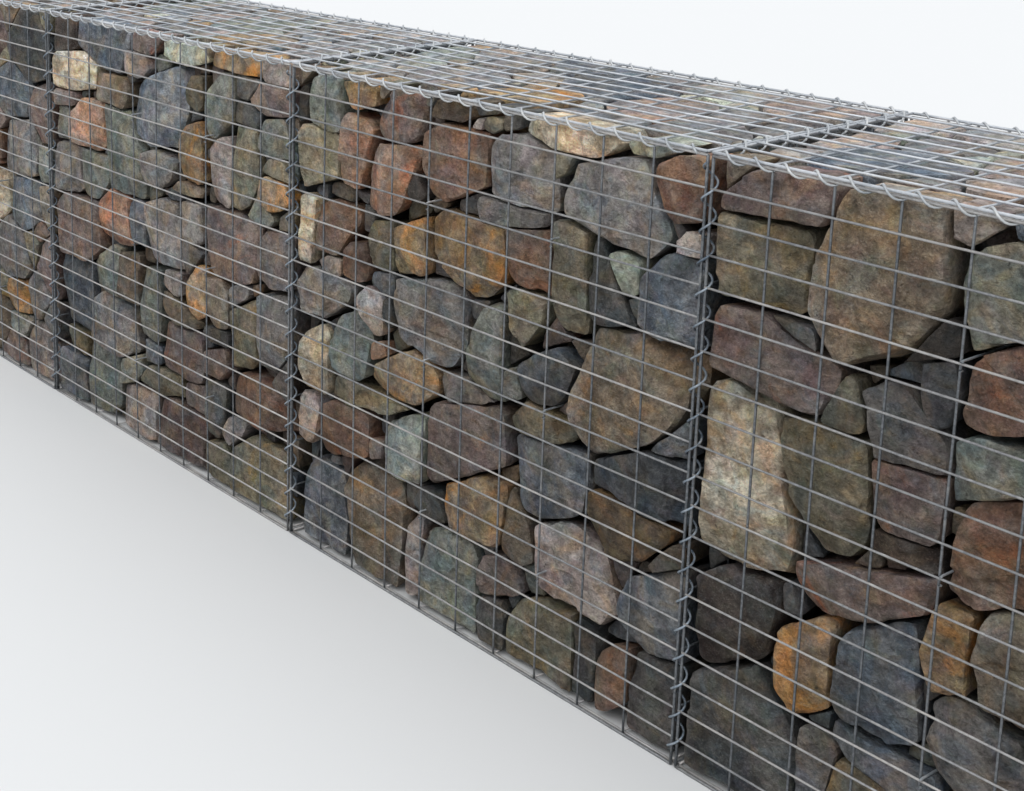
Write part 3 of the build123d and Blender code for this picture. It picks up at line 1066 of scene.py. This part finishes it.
bayTwoStones = [
    ("paleGreen", [-1511, 960, -1481, 985, -1319, 992, -1297, 970, -1382, 950], 1.5),
    ("ochre", [-1297, 963, -1286, 991, -1109, 995, -1110, 958]),
    ("pinkGrey", [-1102, 957, -1099, 994, -1027, 998, -1026, 957], 1.3),
    ("purpleBrown", [-1151, 904, -1113, 947, -1029, 947, -1028, 892, -1097, 878, -1119, 887]),
    ("greyGreen", [-1297, 803, -1316, 853, -1308, 904, -1264, 950, -1227, 955, -1207, 934, -1205, 854, -1242,
        831, -1276, 804], 0.8),
    ("slate", [-1638, 810, -1638, 870, -1521, 903, -1427, 945, -1397, 935, -1387, 860, -1403, 820, -1436, 755,
        -1529, 744, -1603, 763], 1.2),
    ("olive", [-1387, 900, -1361, 928, -1321, 933, -1318, 873, -1345, 852, -1380, 870], 0.6),
    ("ochre", [-1417, 699, -1415, 769, -1390, 815, -1350, 829, -1331, 802, -1325, 702, -1348, 684, -1396,
        690]),
    ("pinkGrey", [-1296, 666, -1300, 783, -1266, 804, -1218, 820, -1222, 660, -1260, 654], 1.2),
    ("olive", [-1215, 667, -1209, 844, -1119, 847, -1117, 744, -1150, 688, -1190, 663], 1.3),
    ("greyGreen", [-1108, 812, -1102, 874, -1078, 884, -1030, 887, -1028, 803, -1080, 802]),
    ("darkGrey", [-1199, 856, -1192, 898, -1117, 889, -1117, 852], 0.6),
    ("olive", [-1109, 768, -1080, 795, -1030, 796, -1028, 761]),
    ("ochre", [-1113, 707, -1114, 744, -1090, 757, -1030, 752, -1028, 722, -1039, 695, -1082, 686], 1.1),
    ("purpleBrown", [-1313, 605, -1304, 652, -1220, 657, -1119, 642, -1127, 563, -1141, 515, -1205, 499,
        -1298, 500, -1315, 542]),
    ("midGrey", [-1556, 466, -1568, 597, -1510, 623, -1437, 622, -1409, 563, -1411, 479, -1480, 467], 1.3),
    ("midGrey", [-1403, 563, -1406, 637, -1329, 644, -1322, 564, -1352, 549], 1.1),
    ("brown", [-1439, 663, -1407, 687, -1332, 687, -1338, 661], 0.9),
    ("midGrey", [-1573, 647, -1572, 716, -1510, 736, -1438, 719, -1452, 679, -1491, 652], 1.1),
    ("pinkGrey", [-1124, 525, -1114, 604, -1083, 639, -1028, 648, -1026, 534, -1087, 519], 0.85),
    ("ochre", [-1401, 407, -1395, 448, -1349, 500, -1320, 504, -1316, 395, -1350, 376, -1391, 392], 1.2),
    ("brown", [-1310, 395, -1309, 487, -1258, 491, -1225, 466, -1227, 386, -1279, 378]),
    ("darkGrey", [-1312, 344, -1311, 374, -1227, 382, -1226, 345], 0.55),
    ("olive", [-1220, 305, -1220, 426, -1189, 449, -1134, 482, -1129, 342, -1159, 313], 1.1),
    ("midGrey", [-1123, 342, -1123, 493, -1042, 510, -1028, 507, -1029, 400, -1065, 332]),
    ("greyGreen", [-1593, 274, -1581, 444, -1511, 449, -1492, 379, -1500, 283, -1535, 270], 0.7),
    ("pinkGrey", [-1490, 421, -1480, 461, -1417, 465, -1413, 418, -1442, 404], 1.1),
    ("brown", [-1490, 361, -1481, 407, -1432, 408, -1340, 373, -1332, 355, -1403, 341, -1443, 345], 0.85),
    ("purpleBrown", [-1498, 283, -1481, 337, -1423, 330, -1333, 344, -1322, 254, -1333, 229, -1396, 216,
        -1472, 223, -1504, 246]),
    ("purpleBrown", [-1318, 264, -1314, 312, -1243, 337, -1227, 292, -1262, 259], 0.75),
    ("darkGrey", [-1311, 127, -1318, 242, -1262, 254, -1236, 242, -1242, 173, -1268, 121]),
    ("brownRed", [-1217, 195, -1219, 282, -1186, 300, -1120, 309, -1030, 289, -1028, 215, -1099, 209, -1160,
        193], 0.75),
    ("midGrey", [-1245, 146, -1229, 183, -1182, 197, -1164, 187, -1189, 137, -1219, 121]),
    ("olive", [-1217, 45, -1215, 125, -1169, 160, -1099, 167, -1030, 164, -1028, 49, -1099, 42]),
    ("olive", [-1591, 162, -1551, 206, -1433, 216, -1415, 169, -1486, 153], 0.8),
    ("purpleBrown", [-1519, 50, -1519, 139, -1465, 151, -1336, 146, -1325, 107, -1330, 49, -1423, 45], 0.8),
    ("olive", [-1321, 47, -1313, 96, -1240, 114, -1225, 95, -1223, 43]),
    ("cream", [-2001, 820, -1981, 904, -1849, 920, -1786, 896, -1794, 836, -1901, 821], 1.1),
    ("brown", [-1777, 816, -1764, 881, -1648, 881, -1624, 849, -1656, 812]),
    ("purpleBrown", [-1999, 774, -1992, 814, -1871, 818, -1867, 787], 1.2),
    ("brownRed", [-1902, 682, -1912, 766, -1857, 808, -1751, 807, -1742, 711, -1790, 678], 1.7),
    ("pinkGrey", [-1656, 903, -1640, 950, -1561, 949, -1543, 919, -1581, 893], 1.25),
    ("midGrey", [-1997, 562, -2002, 650, -1948, 687, -1862, 686, -1856, 579, -1894, 558], 1.05),
    ("purpleBrown", [-1989, 395, -1995, 507, -1934, 556, -1786, 560, -1764, 444, -1844, 393], 1.1),
    ("brownRed", [-1775, 561, -1737, 601, -1650, 597, -1633, 483, -1691, 471, -1760, 482], 1.4),
    ("brown", [-1686, 341, -1678, 454, -1609, 466, -1596, 345], 0.8),
    ("midGrey", [-1824, 198, -1822, 302, -1770, 332, -1627, 327, -1604, 224, -1692, 188]),
    ("slate", [-2001, 20, -2004, 111, -1959, 135, -1858, 129, -1839, 22]),
    ("pinkGrey", [-1683, 22, -1683, 114, -1632, 133, -1533, 135, -1529, 24], 1.2),
]
print("outlines read")


stoneBuild = {
    "joint": 0.0028,  # least gap between neighbours
    "grow": 0.0035,  # traced outlines reach this much further where there is room
    "behind": 0.020,  # how far the stones stand behind the mesh, as the camera sees them
    "lean": (0.02, 0.12),  # how the sides close in towards the back
    "faceTilt": 0.07,
    "arris": 0.7,  # share of sides with a worn arris
    "topArris": 0.2,
    "arrisSlope": (0.5, 2.2),
    "arrisBack": (0.0015, 0.0070),
    "facets": 7,  # flat breaks across the face
    "facetSlope": (0.06, 0.46),
    "facetFar": (0.08, 0.42),
    "cornerShare": 0.45,
    "cornerCut": (0.02, 0.06),
    "cornerSlope": (0.3, 1.6),
    "backTilt": 0.15,
    "rounding": (0.009, 0.11),  # of corners, at most, and as a share of the size
    "sharpness": (42, 100),
    "chip": 0.0042,
    "swell": 0.0030,
    "lump": 0.0018,
    "tooth": 0.0008,
    # painted shade: stone sides are drawn darker the further they lie behind the face
    "paintedSideShade": 0.29,
    "paintedTopLight": 1.30,  # painted light: upper sides are drawn paler, as the sky lights them
    "paleTops": {"cream": 0.78, "paleGreen": 0.85, "ochre": 1.0, "pinkGrey": 1.1},  # painted top light for kinds that are pale already
    "highSide": 0.985,  # a stone that reaches above this shows its upper side
    "footShade": 0.72,  # painted shade: stones near the ground are drawn darker
    "shadeRise": 0.38,
    "shadeSpread": (0.86, 1.16),
    "crease": 26,  # degrees
    "leastArea": 0.00025,
    "leastWidth": 0.005,
}
aroundStone = ((1.0, 0.008), (1.0, 0.020), (0.99, 0.050))  # rings behind the face: share, depth


def faceFrame(name):
    inside, end = wall["faceInside"], wall["endInside"]
    return {
        "front": ((0, -inside, 0), (1, 0, 0), (0, 0, 1), (0, -1, 0)),
        "back": ((0, inside, 0), (-1, 0, 0), (0, 0, 1), (0, 1, 0)),
        "left": ((-end, 0, 0), (0, -1, 0), (0, 0, 1), (-1, 0, 0)),
        "right": ((end, 0, 0), (0, 1, 0), (0, 0, 1), (1, 0, 0)),
        "top": ((0, 0, wall["lidUnder"]), (1, 0, 0), (0, 1, 0), (0, 0, 1)),
        "core": ((0, -wall["coreDepth"], 0), (1, 0, 0), (0, 0, 1), (0, -1, 0)),
    }[name]


# The outline with round corners, as evenly spaced points
def evenOutline(outline, count, rounding):
    corners = np.array(outline)
    before, after = np.roll(corners, 1, axis=0), np.roll(corners, -1, axis=0)
    path = []
    for corner, last, following in zip(corners, before, after):
        a, b = np.linalg.norm(last - corner), np.linalg.norm(following - corner)
        cutA, cutB = min(rounding, a * 0.4) / max(a, 1e-9), min(rounding, b * 0.4) / max(b, 1e-9)
        p, q = corner + (last - corner) * cutA, corner + (following - corner) * cutB
        for t in (0.0, 0.33, 0.67, 1.0):
            path.append((1 - t) ** 2 * p + 2 * t * (1 - t) * corner + t * t * q)
    path = np.array(path)
    closed = np.vstack([path, path[:1]])
    gaps = np.linalg.norm(np.diff(closed, axis=0), axis=1)
    reach = np.concatenate([[0], np.cumsum(gaps)])
    wanted = np.linspace(0, reach[-1], count, endpoint=False)
    even = np.stack([np.interp(wanted, reach, closed[:, axis]) for axis in (0, 1)], axis=1)
    return even, reach[-1]


def middleOf(outline):
    corners = np.array(outline)
    following = np.roll(corners, -1, axis=0)
    weight = corners[:, 0] * following[:, 1] - following[:, 0] * corners[:, 1]
    return ((corners + following) * weight[:, None]).sum(axis=0) / (6 * areaOf(outline))


# Planes round a stone's centre: its sides, worn arrises, face, flat breaks, corners and back
def stonePlanes(stone, middle, centre, arris, chance):
    outline, depth, recess = stone["outline"], stone["depth"], stone["recess"]
    calm, atJoint = stone.get("calm", 1.0), stone.get("atJoint", False)
    size = math.sqrt(areaOf(outline))
    corners = np.array(outline)
    standing = calm == 1.0 and corners[:, 1].min() < wall["foot"] + 0.004
    normals, offsets = [], []

    def addPlane(normal, spot, behind, always=False):
        normal = np.array(normal, dtype=float)
        normal /= np.linalg.norm(normal)
        away = float(normal @ (np.array((spot[0], spot[1], -recess - behind)) - centre))
        if always or away > 0.35 * size:
            normals.append(normal)
            offsets.append(max(away, 0.004))

    for nu, nv, limit in sidesOf(outline):
        side = np.array([nu, nv])
        lean = chance.uniform(*stoneBuild["lean"])
        foot = middle + (limit - nu * middle[0] - nv * middle[1]) * side
        addPlane((nu, nv, -lean), foot, 0.012, True)
        whole = (standing and nv < -0.7) or (atJoint and nu < -0.7)
        if chance.random() < arris and not whole:
            slope = chance.uniform(*stoneBuild["arrisSlope"])
            back = chance.uniform(*stoneBuild["arrisBack"]) * min(1.0, size / 0.09)
            addPlane((nu, nv, slope), foot - side * back, 0.001)
    tilt = stoneBuild["faceTilt"] * calm * chance.uniform(-1, 1, 2)
    if standing:
        tilt[1] = abs(tilt[1])
    if atJoint:
        tilt[0] = abs(tilt[0]) * 0.4
    heights = -(corners - middle) @ tilt
    addPlane((tilt[0], tilt[1], 1), middle, max(heights.max(), 0) * 0.75, True)
    for _ in range(stoneBuild["facets"]):
        turn = chance.uniform(0, 2 * math.pi)
        if standing and turn > math.pi:  # none towards the foot
            turn = 2 * math.pi - turn
        if atJoint and math.cos(turn) < -0.2:  # nor towards the spiral
            turn = math.pi - turn
        way = np.array([math.cos(turn), math.sin(turn)])
        slope = chance.uniform(*stoneBuild["facetSlope"]) ** 1.2 * calm
        far = size * chance.uniform(*stoneBuild["facetFar"])
        addPlane((way[0] * slope, way[1] * slope, 1), middle + way * far, 0.001)
    for corner in corners:
        whole = ((standing and corner[1] < wall["foot"] + 0.02)
                 or (atJoint and corner[0] < corners[:, 0].min() + 0.02))
        if chance.random() < arris * stoneBuild["cornerShare"] and not whole:
            way = (corner - middle) / max(np.linalg.norm(corner - middle), 1e-6)
            cut = chance.uniform(*stoneBuild["cornerCut"]) * size
            addPlane((way[0], way[1], chance.uniform(*stoneBuild["cornerSlope"])), corner - way * cut, 0.002)
    tilt = stoneBuild["backTilt"]
    addPlane((chance.uniform(-tilt, tilt), chance.uniform(-tilt, tilt), -1), middle, depth, True)
    return np.array(normals), np.array(offsets)


# Points on rings from the middle of the face round to the middle of the back
def stoneRings(stone, middle, spacing):
    outline, depth = stone["outline"], stone["depth"]
    _, perimeter = evenOutline(outline, 16, 0.01)
    count = int(min(max(perimeter / spacing, 16), 132))
    most, share = stoneBuild["rounding"]
    loop, _ = evenOutline(outline, count, min(most, math.sqrt(areaOf(outline)) * share))
    meanRadius = np.linalg.norm(loop - middle, axis=1).mean()
    frontRings = int(min(max(meanRadius / spacing, 3), 18))
    rings = [(share, 0.002) for share in np.linspace(0, 0.96, frontRings + 1)[1:]]
    rings += [*aroundStone, (0.97, depth * 0.8), (0.6, depth)]
    points = [np.array([[middle[0], middle[1], 0]])]
    for share, behind in rings:
        points.append(pointsOf(*(middle + (loop - middle) * share).T, -behind))
    points.append(np.array([[middle[0], middle[1], -depth]]))
    points = np.concatenate(points)
    points[:, 2] -= stone["recess"]
    return points, 1 + np.arange(len(rings) * count).reshape(len(rings), count)


# One broken stone: planes round a middle, worn where they meet, then roughened
def stoneSolid(stone, spacing, onLid, chance):
    outline, recess = stone["outline"], stone["recess"]
    size = math.sqrt(areaOf(outline))
    middle = middleOf(outline)
    centre = np.array([middle[0], middle[1], -recess - 0.45 * stone["depth"]])
    arris = stoneBuild["topArris" if onLid else "arris"]
    normals, offsets = stonePlanes(stone, middle, centre, arris, chance)
    points, grid = stoneRings(stone, middle, spacing)
    ways = points - centre
    ways /= np.linalg.norm(ways, axis=1)[:, None]
    share = np.maximum(ways @ normals.T / offsets, 1e-6)
    sharp = chance.uniform(*stoneBuild["sharpness"])
    radius = (share ** sharp).sum(axis=1) ** (-1 / sharp)
    ranked = np.sort(share, axis=1)
    wear = np.clip((ranked[:, -2] / ranked[:, -1] - 0.90) / 0.10, 0, 1)
    shift = chance.uniform(-3, 3, 3)
    flat = centre + ways * radius[:, None] + shift
    seed = int(chance.integers(1, 9999))
    facing = np.clip(ways[:, 2] * 1.6, 0, 1)
    lift = stoneBuild["swell"] * softNoise(flat, 0.050, seed)
    lift += stoneBuild["lump"] * softNoise(flat, 0.021, seed + 1)
    if spacing < 0.009:
        lift += stoneBuild["tooth"] * softNoise(flat, 0.009, seed + 2)
        lift -= stoneBuild["chip"] * np.clip((softNoise(flat, 0.062, seed + 3) - 0.24) / 0.07, 0, 1)
    lift *= (0.45 + 0.55 * facing) * min(1.0, size / 0.08)
    solid = centre + ways * (radius + lift - 0.4 * stoneBuild["swell"])[:, None]
    solid[:, 2] = np.minimum(solid[:, 2], -0.0008)

    # Painted shade on the sides, darker deeper behind the face, and painted light on upper sides open under
    # the lid
    recessShade = np.clip((-solid[:, 2] - recess - 0.006) / 0.045, 0, 1)
    upperSide = np.zeros(len(solid))
    highest = max(corner[1] for corner in outline)
    if highest > stoneBuild["highSide"] and not onLid:  # its upper side lies open under the lid
        upperSide = np.clip((solid[:, 1] - highest + 0.020) / 0.012, 0, 1)
        recessShade *= 1 - upperSide
    pale = stoneBuild["paleTops"].get(stone["kind"], stoneBuild["paintedTopLight"])
    shade = (1 - stoneBuild["paintedSideShade"] * recessShade * recessShade * (3 - 2 * recessShade)) * (1 + (pale - 1) * upperSide)

    last = len(solid) - 1
    fans = [[0, a, b] for a, b in zip(grid[0].tolist(), np.roll(grid[0], -1).tolist())]
    fans += [[last, b, a] for a, b in zip(grid[-1].tolist(), np.roll(grid[-1], -1).tolist())]
    return solid, ringFaces(grid), fans, wear, shade, shift


def stonePiece(name, face, stones, spacingOf, nodes, seed):
    origin, uWay, vWay, outWay = (np.array(part, dtype=float) for part in faceFrame(face))
    chance = np.random.default_rng(seed)
    onLid = face == "top"
    allPoints, allFaces, allKinds, wears, shades, shifts = [], [], [], [], [], []
    start = 0
    for stone in stones:
        outline = stone["outline"]
        if (len(outline) < 3 or areaOf(outline) < stoneBuild["leastArea"]
                or narrowest(outline) < stoneBuild["leastWidth"]):
            continue
        solid, quads, fans, wear, shade, shift = stoneSolid(stone, spacingOf(outline), onLid, chance)
        placed = origin + solid[:, :1] * uWay + solid[:, 1:2] * vWay + solid[:, 2:3] * outWay
        placed[:, 2] = np.clip(placed[:, 2], wall["baseTop"], wall["lidUnder"])
        placed[:, 1] = np.clip(placed[:, 1], -wall["faceInside"], wall["faceInside"])
        allPoints.append(placed)
        faces = (quads + start).tolist() + [[a + start, b + start, c + start] for a, b, c in fans]
        allFaces.extend(faces)
        allKinds.extend([kindNames.index(stone["kind"])] * len(faces))
        wears.append(wear)
        # Painted shade: lower stones are drawn darker; each stone's own tone also varies at random
        rise = stoneBuild["shadeRise"] * float(placed[:, 2].mean())
        level = 1.0 if onLid else stoneBuild["footShade"] + rise
        lighter = chance.uniform(*stoneBuild["shadeSpread"])
        shades.append(shade * stone["shade"] * level * (1.0 if stone.get("own") else lighter))
        shifts.append(np.tile(shift, (len(solid), 1)))
        start += len(solid)
    made = makePiece(name, np.concatenate(allPoints).tolist(), allFaces, list(rockMaterials.values()),
                     allKinds, {"edgeWear": np.concatenate(wears), "stoneShade": np.concatenate(shades)},
                     {"grainShift": np.concatenate(shifts)}, crease=stoneBuild["crease"])
    if nodes:
        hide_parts(*nodes)
    print(name, len(stones), "stones", sum(len(f) - 2 for f in allFaces), "triangles")


# How common each kind is: on top, among the small stones between the traced ones, and elsewhere
topShares = {"slate": 14, "pinkGrey": 20, "paleGreen": 5, "midGrey": 30, "greyGreen": 19, "brown": 4,
             "ochre": 4, "brownRed": 4}
fillShares = {"slate": 20, "greyGreen": 12, "purpleBrown": 18, "brown": 12, "midGrey": 12, "olive": 8,
              "darkGrey": 10, "darkBrown": 8}
kindShares = {"slate": 15, "greyGreen": 13, "purpleBrown": 14, "brown": 12, "ochre": 9, "midGrey": 12,
              "olive": 10, "darkGrey": 5, "darkBrown": 4, "cream": 3, "pinkGrey": 8, "brownRed": 10,
              "paleGreen": 2}


def anyKind(chance, kinds):
    names = list(kinds)
    shares = np.array([kinds[n] for n in names], dtype=float)
    return names[int(chance.choice(len(names), p=shares / shares.sum()))]


fills = {
    "restOfFour": (1.556, 2.0025, 1.0035),  # where it begins and ends, and its top
    "restSize": 0.125,
    "hiddenSize": 0.130,  # of the stones that the photograph doesn't show
    "endSize": 0.125,
    "coreSize": 0.24,
    "topSize": 0.095,
    "backTop": 0.905,  # the top layer lies over the back and inner stones
    "coreTop": 0.89,
    "coreOver": 0.012,  # how far the inner stones reach into the joints
    "endTop": 0.996,
    "endHalf": 0.234,
    "topFront": -0.144,
}


def bayRegion(bay):
    left, right = wall["joints"][bay], wall["joints"][bay + 1]
    room = wall["jointRoom"]
    return boxOutline(left + room, right - room, wall["foot"], wall["lidUnder"] - 0.001)


# The outlines were drawn where the camera sees them on the mesh, and the stones stand behind it
def behindMesh(x, z, region):
    eyeX, eyeY, eyeZ = cameraView["place"]
    share = stoneBuild["behind"] / (-0.25 - eyeY)
    if x < region[1][0] - 0.006:
        x -= share * (eyeX - x)
    if 0.06 < z < 0.985:
        z -= share * (eyeZ - z)
    return x, z


def farApart(first, second, gap=0.01):
    return any(max(p[axis] for p in one) < min(p[axis] for p in other) - gap
               for axis in (0, 1) for one, other in ((first, second), (second, first)))


# Traced outlines first, kept a joint apart, then what is added to them
def tracedFace(bay, traced, extra):
    region = bayRegion(bay)
    datum = wall["joints"][3]
    kinds, tones, outlines = [], [], []
    for kind, numbers, *tone in traced:
        corners = []
        for u, v in zip(numbers[::2], numbers[1::2]):
            v = 0 if v < 60 else v  # the lowest stones stand on the base mesh
            corners.append(behindMesh(datum + u / 1000, wall["baseRow"] + v / 1000, region))
        kinds.append(kind)
        tones.append(tone[0] if tone else 1.0)
        outlines.append(growOutline(hullOf(corners), stoneBuild["grow"], region))
    for kind, outline in extra:
        kinds.append(kind)
        tones.append(None)
        outlines.append(outline)
    for i in range(len(outlines)):
        for j in range(i + 1, len(outlines)):
            a, b = outlines[i], outlines[j]
            if len(a) > 2 and len(b) > 2 and not farApart(a, b):
                outlines[i], outlines[j] = partNeighbours(a, b, stoneBuild["joint"])
    return [(kind, tone, outline) for kind, tone, outline in zip(kinds, tones, outlines)
            if len(outline) > 2 and areaOf(outline) > 0.0002]


def reachesLid(outline):
    return max(p[1] for p in outline) > 0.99


def frontStones(bay, traced, spacing, seed, shade, extra=()):
    chance = np.random.default_rng(seed)
    region = bayRegion(bay)
    whole = tracedFace(bay, traced, extra)
    outlines = [outline for _, _, outline in whole]
    fillers = fillRoom(outlines, region, packing["fillJoint"], packing["fillLeast"])
    stones = []
    for kind, tone, outline in whole:
        atJoint = min(p[0] for p in outline) < region[0][0] + 0.002
        recess = chance.uniform(0.0005, 0.001 if atJoint else 0.006)
        stones.append({"kind": kind, "outline": outline, "recess": recess, "atJoint": atJoint,
                       "depth": 0.10 if reachesLid(outline) else 0.155, "shade": shade * (tone or 1.0),
                       "own": tone is not None})
    for outline in fillers:
        kind = anyKind(chance, fillShares)
        small = math.sqrt(areaOf(outline)) < 0.05
        # Painted shade: small fillers sit deep in the gaps and are drawn darker; fillers reaching the lid are
        # drawn less dark
        if reachesLid(outline):
            recess, depth, tone = (0.004, 0.016), 0.08, 0.95
        elif small:
            recess, depth, tone = (0.018, 0.042), 0.11, 0.56
        else:
            recess, depth, tone = (0.004, 0.016), 0.11, 0.86
        stones.append({"kind": kind, "outline": outline, "recess": chance.uniform(*recess), "depth": depth,
                       "shade": shade * tone})
    stonePiece(f"frontStones{bay + 1}", "front", stones, spacing, [f"stone_fill_{bay + 1}"], seed)


def packedStones(region, size, seed, depth):
    chance = np.random.default_rng(seed)
    return [{"kind": anyKind(chance, kindShares), "outline": outline, "recess": chance.uniform(0.0005, 0.007),
             "depth": depth, "shade": 1.0} for outline in packFace(region, size, seed)]


# Under the lid the stones are more mixed in size and flatter, most of all along its back edge
def lidStones(region, seed):
    chance = np.random.default_rng(seed)
    outlines = packFace(region, fills["topSize"], seed, 1.0, packing["lidShares"])
    outlines += fillRoom(outlines, region, packing["joint"], packing["lidLeast"])
    stones = []
    for outline in outlines:
        atBack = max(p[1] for p in outline) > 0.23
        kind, recess = anyKind(chance, topShares), chance.uniform(0.0, 0.0035)
        # painted light: the stones under the lid are drawn paler, as the sky lights them from above
        stones.append({"kind": kind, "outline": outline, "recess": 0.0 if atBack else recess, "depth": 0.10,
                       "shade": 1.40, "calm": 0.12 if atBack else 0.7})
    return stones


# How far apart a stone's points lie: closest where the photograph shows it near by
def fixedSpacing(value):
    return lambda outline: value


def nearSpacing(first, last, inside, outside):
    return lambda outline: inside if first < min(p[0] for p in outline) < last else outside


def extraStones(region, size, seed):
    return [(stone["kind"], stone["outline"]) for stone in packedStones(region, size, seed, 0.15)]


# Bay four's own right part is beyond the photograph
left, right, top = fills["restOfFour"]
restOfFour = extraStones(boxOutline(left, right, wall["foot"], top), fills["restSize"], 5)
# The last number is each bay's stone brightness: painted light, the stones of the far bays drawn brighter
frontStones(3, bayFourStones, nearSpacing(-9.0, 1.55, 0.0048, 0.014), 401, 1.03, restOfFour)
frontStones(2, bayThreeStones, nearSpacing(0.45, 9.0, 0.0058, 0.0080), 301, 1.20)
frontStones(1, bayTwoStones, fixedSpacing(0.0110), 201, 1.42)
frontStones(0, [], fixedSpacing(0.014), 101, 1.42, extraStones(bayRegion(0), fills["hiddenSize"], 8))

for bay in range(4):
    left, right = wall["joints"][bay] + wall["jointRoom"], wall["joints"][bay + 1] - wall["jointRoom"]
    nodes = [f"stone_fill_{bay + 1}"]
    region = boxOutline(-right, -left, wall["foot"], fills["backTop"])
    stonePiece(f"backStones{bay + 1}", "back", packedStones(region, fills["hiddenSize"], 500 + bay, 0.155),
               fixedSpacing(0.0165), nodes, 510 + bay)
    region = boxOutline(left, right, fills["topFront"], wall["faceInside"])
    stonePiece(f"topStones{bay + 1}", "top", lidStones(region, 600 + bay),
               fixedSpacing(0.010 if bay > 1 else 0.013), nodes, 610 + bay)
    region = boxOutline(left - fills["coreOver"], right + fills["coreOver"], wall["foot"], fills["coreTop"])
    stonePiece(f"coreStones{bay + 1}", "core", packedStones(region, fills["coreSize"], 700 + bay, 0.140),
               fixedSpacing(0.045), nodes, 710 + bay)
for side, node, seed in (("left", "stone_fill_1", 81), ("right", "stone_fill_4", 82)):
    region = boxOutline(-fills["endHalf"], fills["endHalf"], wall["foot"], fills["endTop"])
    stonePiece(f"{side}EndStones", side, packedStones(region, fills["endSize"], seed, 0.12),
               fixedSpacing(0.014), [node], seed * 10 + 1)
print("stones made")


studio = {
    "floor": (226, 227, 228),
    "floorLit": (122, 117, 110),  # what the floor throws back on the wall
    "floorReach": 30.0,
    "overhead": 1.25,
    "horizon": 0.40,
    "seen": 0.88,
    "sky": (0.96, 0.98, 1.0, 1),
    "sun": 0.85,
    "sunAngle": 60,
    "sunColour": (1.0, 0.985, 0.96),
    "sunWay": (34, 14),  # degrees from upright towards the front, then sideways
}


# The floor and sky look pale to the camera and in the metal
def seenRay(tree):
    paths = addNode(tree, "ShaderNodeLightPath").outputs
    mirrored = combine(tree, "MAXIMUM", paths["Is Glossy Ray"], paths["Is Transmission Ray"])
    return combine(tree, "MAXIMUM", paths["Is Camera Ray"], mirrored)


def makeFloor():
    made, tree = newMaterial("paleFloor")
    both = blendColour(tree, seenRay(tree), colourOf(*studio["floorLit"]), colourOf(*studio["floor"]))
    addSurface(tree, {"Base Color": both, "Roughness": 0.9, "Specular IOR Level": 0.2})
    mesh = bpy.data.meshes.new("studioFloor")
    far = studio["floorReach"]
    mesh.from_pydata([(-far, -far, 0), (far, -far, 0), (far, far, 0), (-far, far, 0)], [], [(0, 1, 2, 3)])
    mesh.materials.append(made)
    floor = bpy.data.objects.new("studioFloor", mesh)
    bpy.context.scene.collection.objects.link(floor)


def makeLight():
    world = bpy.data.worlds.new("studioWorld")
    bpy.context.scene.world = world
    world.use_nodes = True
    tree = world.node_tree
    tree.nodes.clear()
    way = addNode(tree, "ShaderNodeTexCoord").outputs["Generated"]
    height = addNode(tree, "ShaderNodeSeparateXYZ", {0: way}).outputs[2]
    dome = spread(tree, height, 0.0, 0.9, studio["horizon"], studio["overhead"])
    level = addNode(tree, "ShaderNodeMix", {0: seenRay(tree), 2: dome, 3: studio["seen"]},
                    data_type="FLOAT").outputs[0]
    sky = addNode(tree, "ShaderNodeBackground", {"Color": studio["sky"], "Strength": level})
    addNode(tree, "ShaderNodeOutputWorld", {"Surface": sky.outputs[0]})
    lamp = bpy.data.lights.new("softSun", "SUN")
    lamp.energy = studio["sun"]
    lamp.angle = math.radians(studio["sunAngle"])
    lamp.color = studio["sunColour"]
    sun = bpy.data.objects.new("softSun", lamp)
    sun.rotation_euler = (math.radians(studio["sunWay"][0]), 0, math.radians(studio["sunWay"][1]))
    bpy.context.scene.collection.objects.link(sun)


makeFloor()
makeLight()
bpy.context.scene.view_settings.view_transform = "Standard"
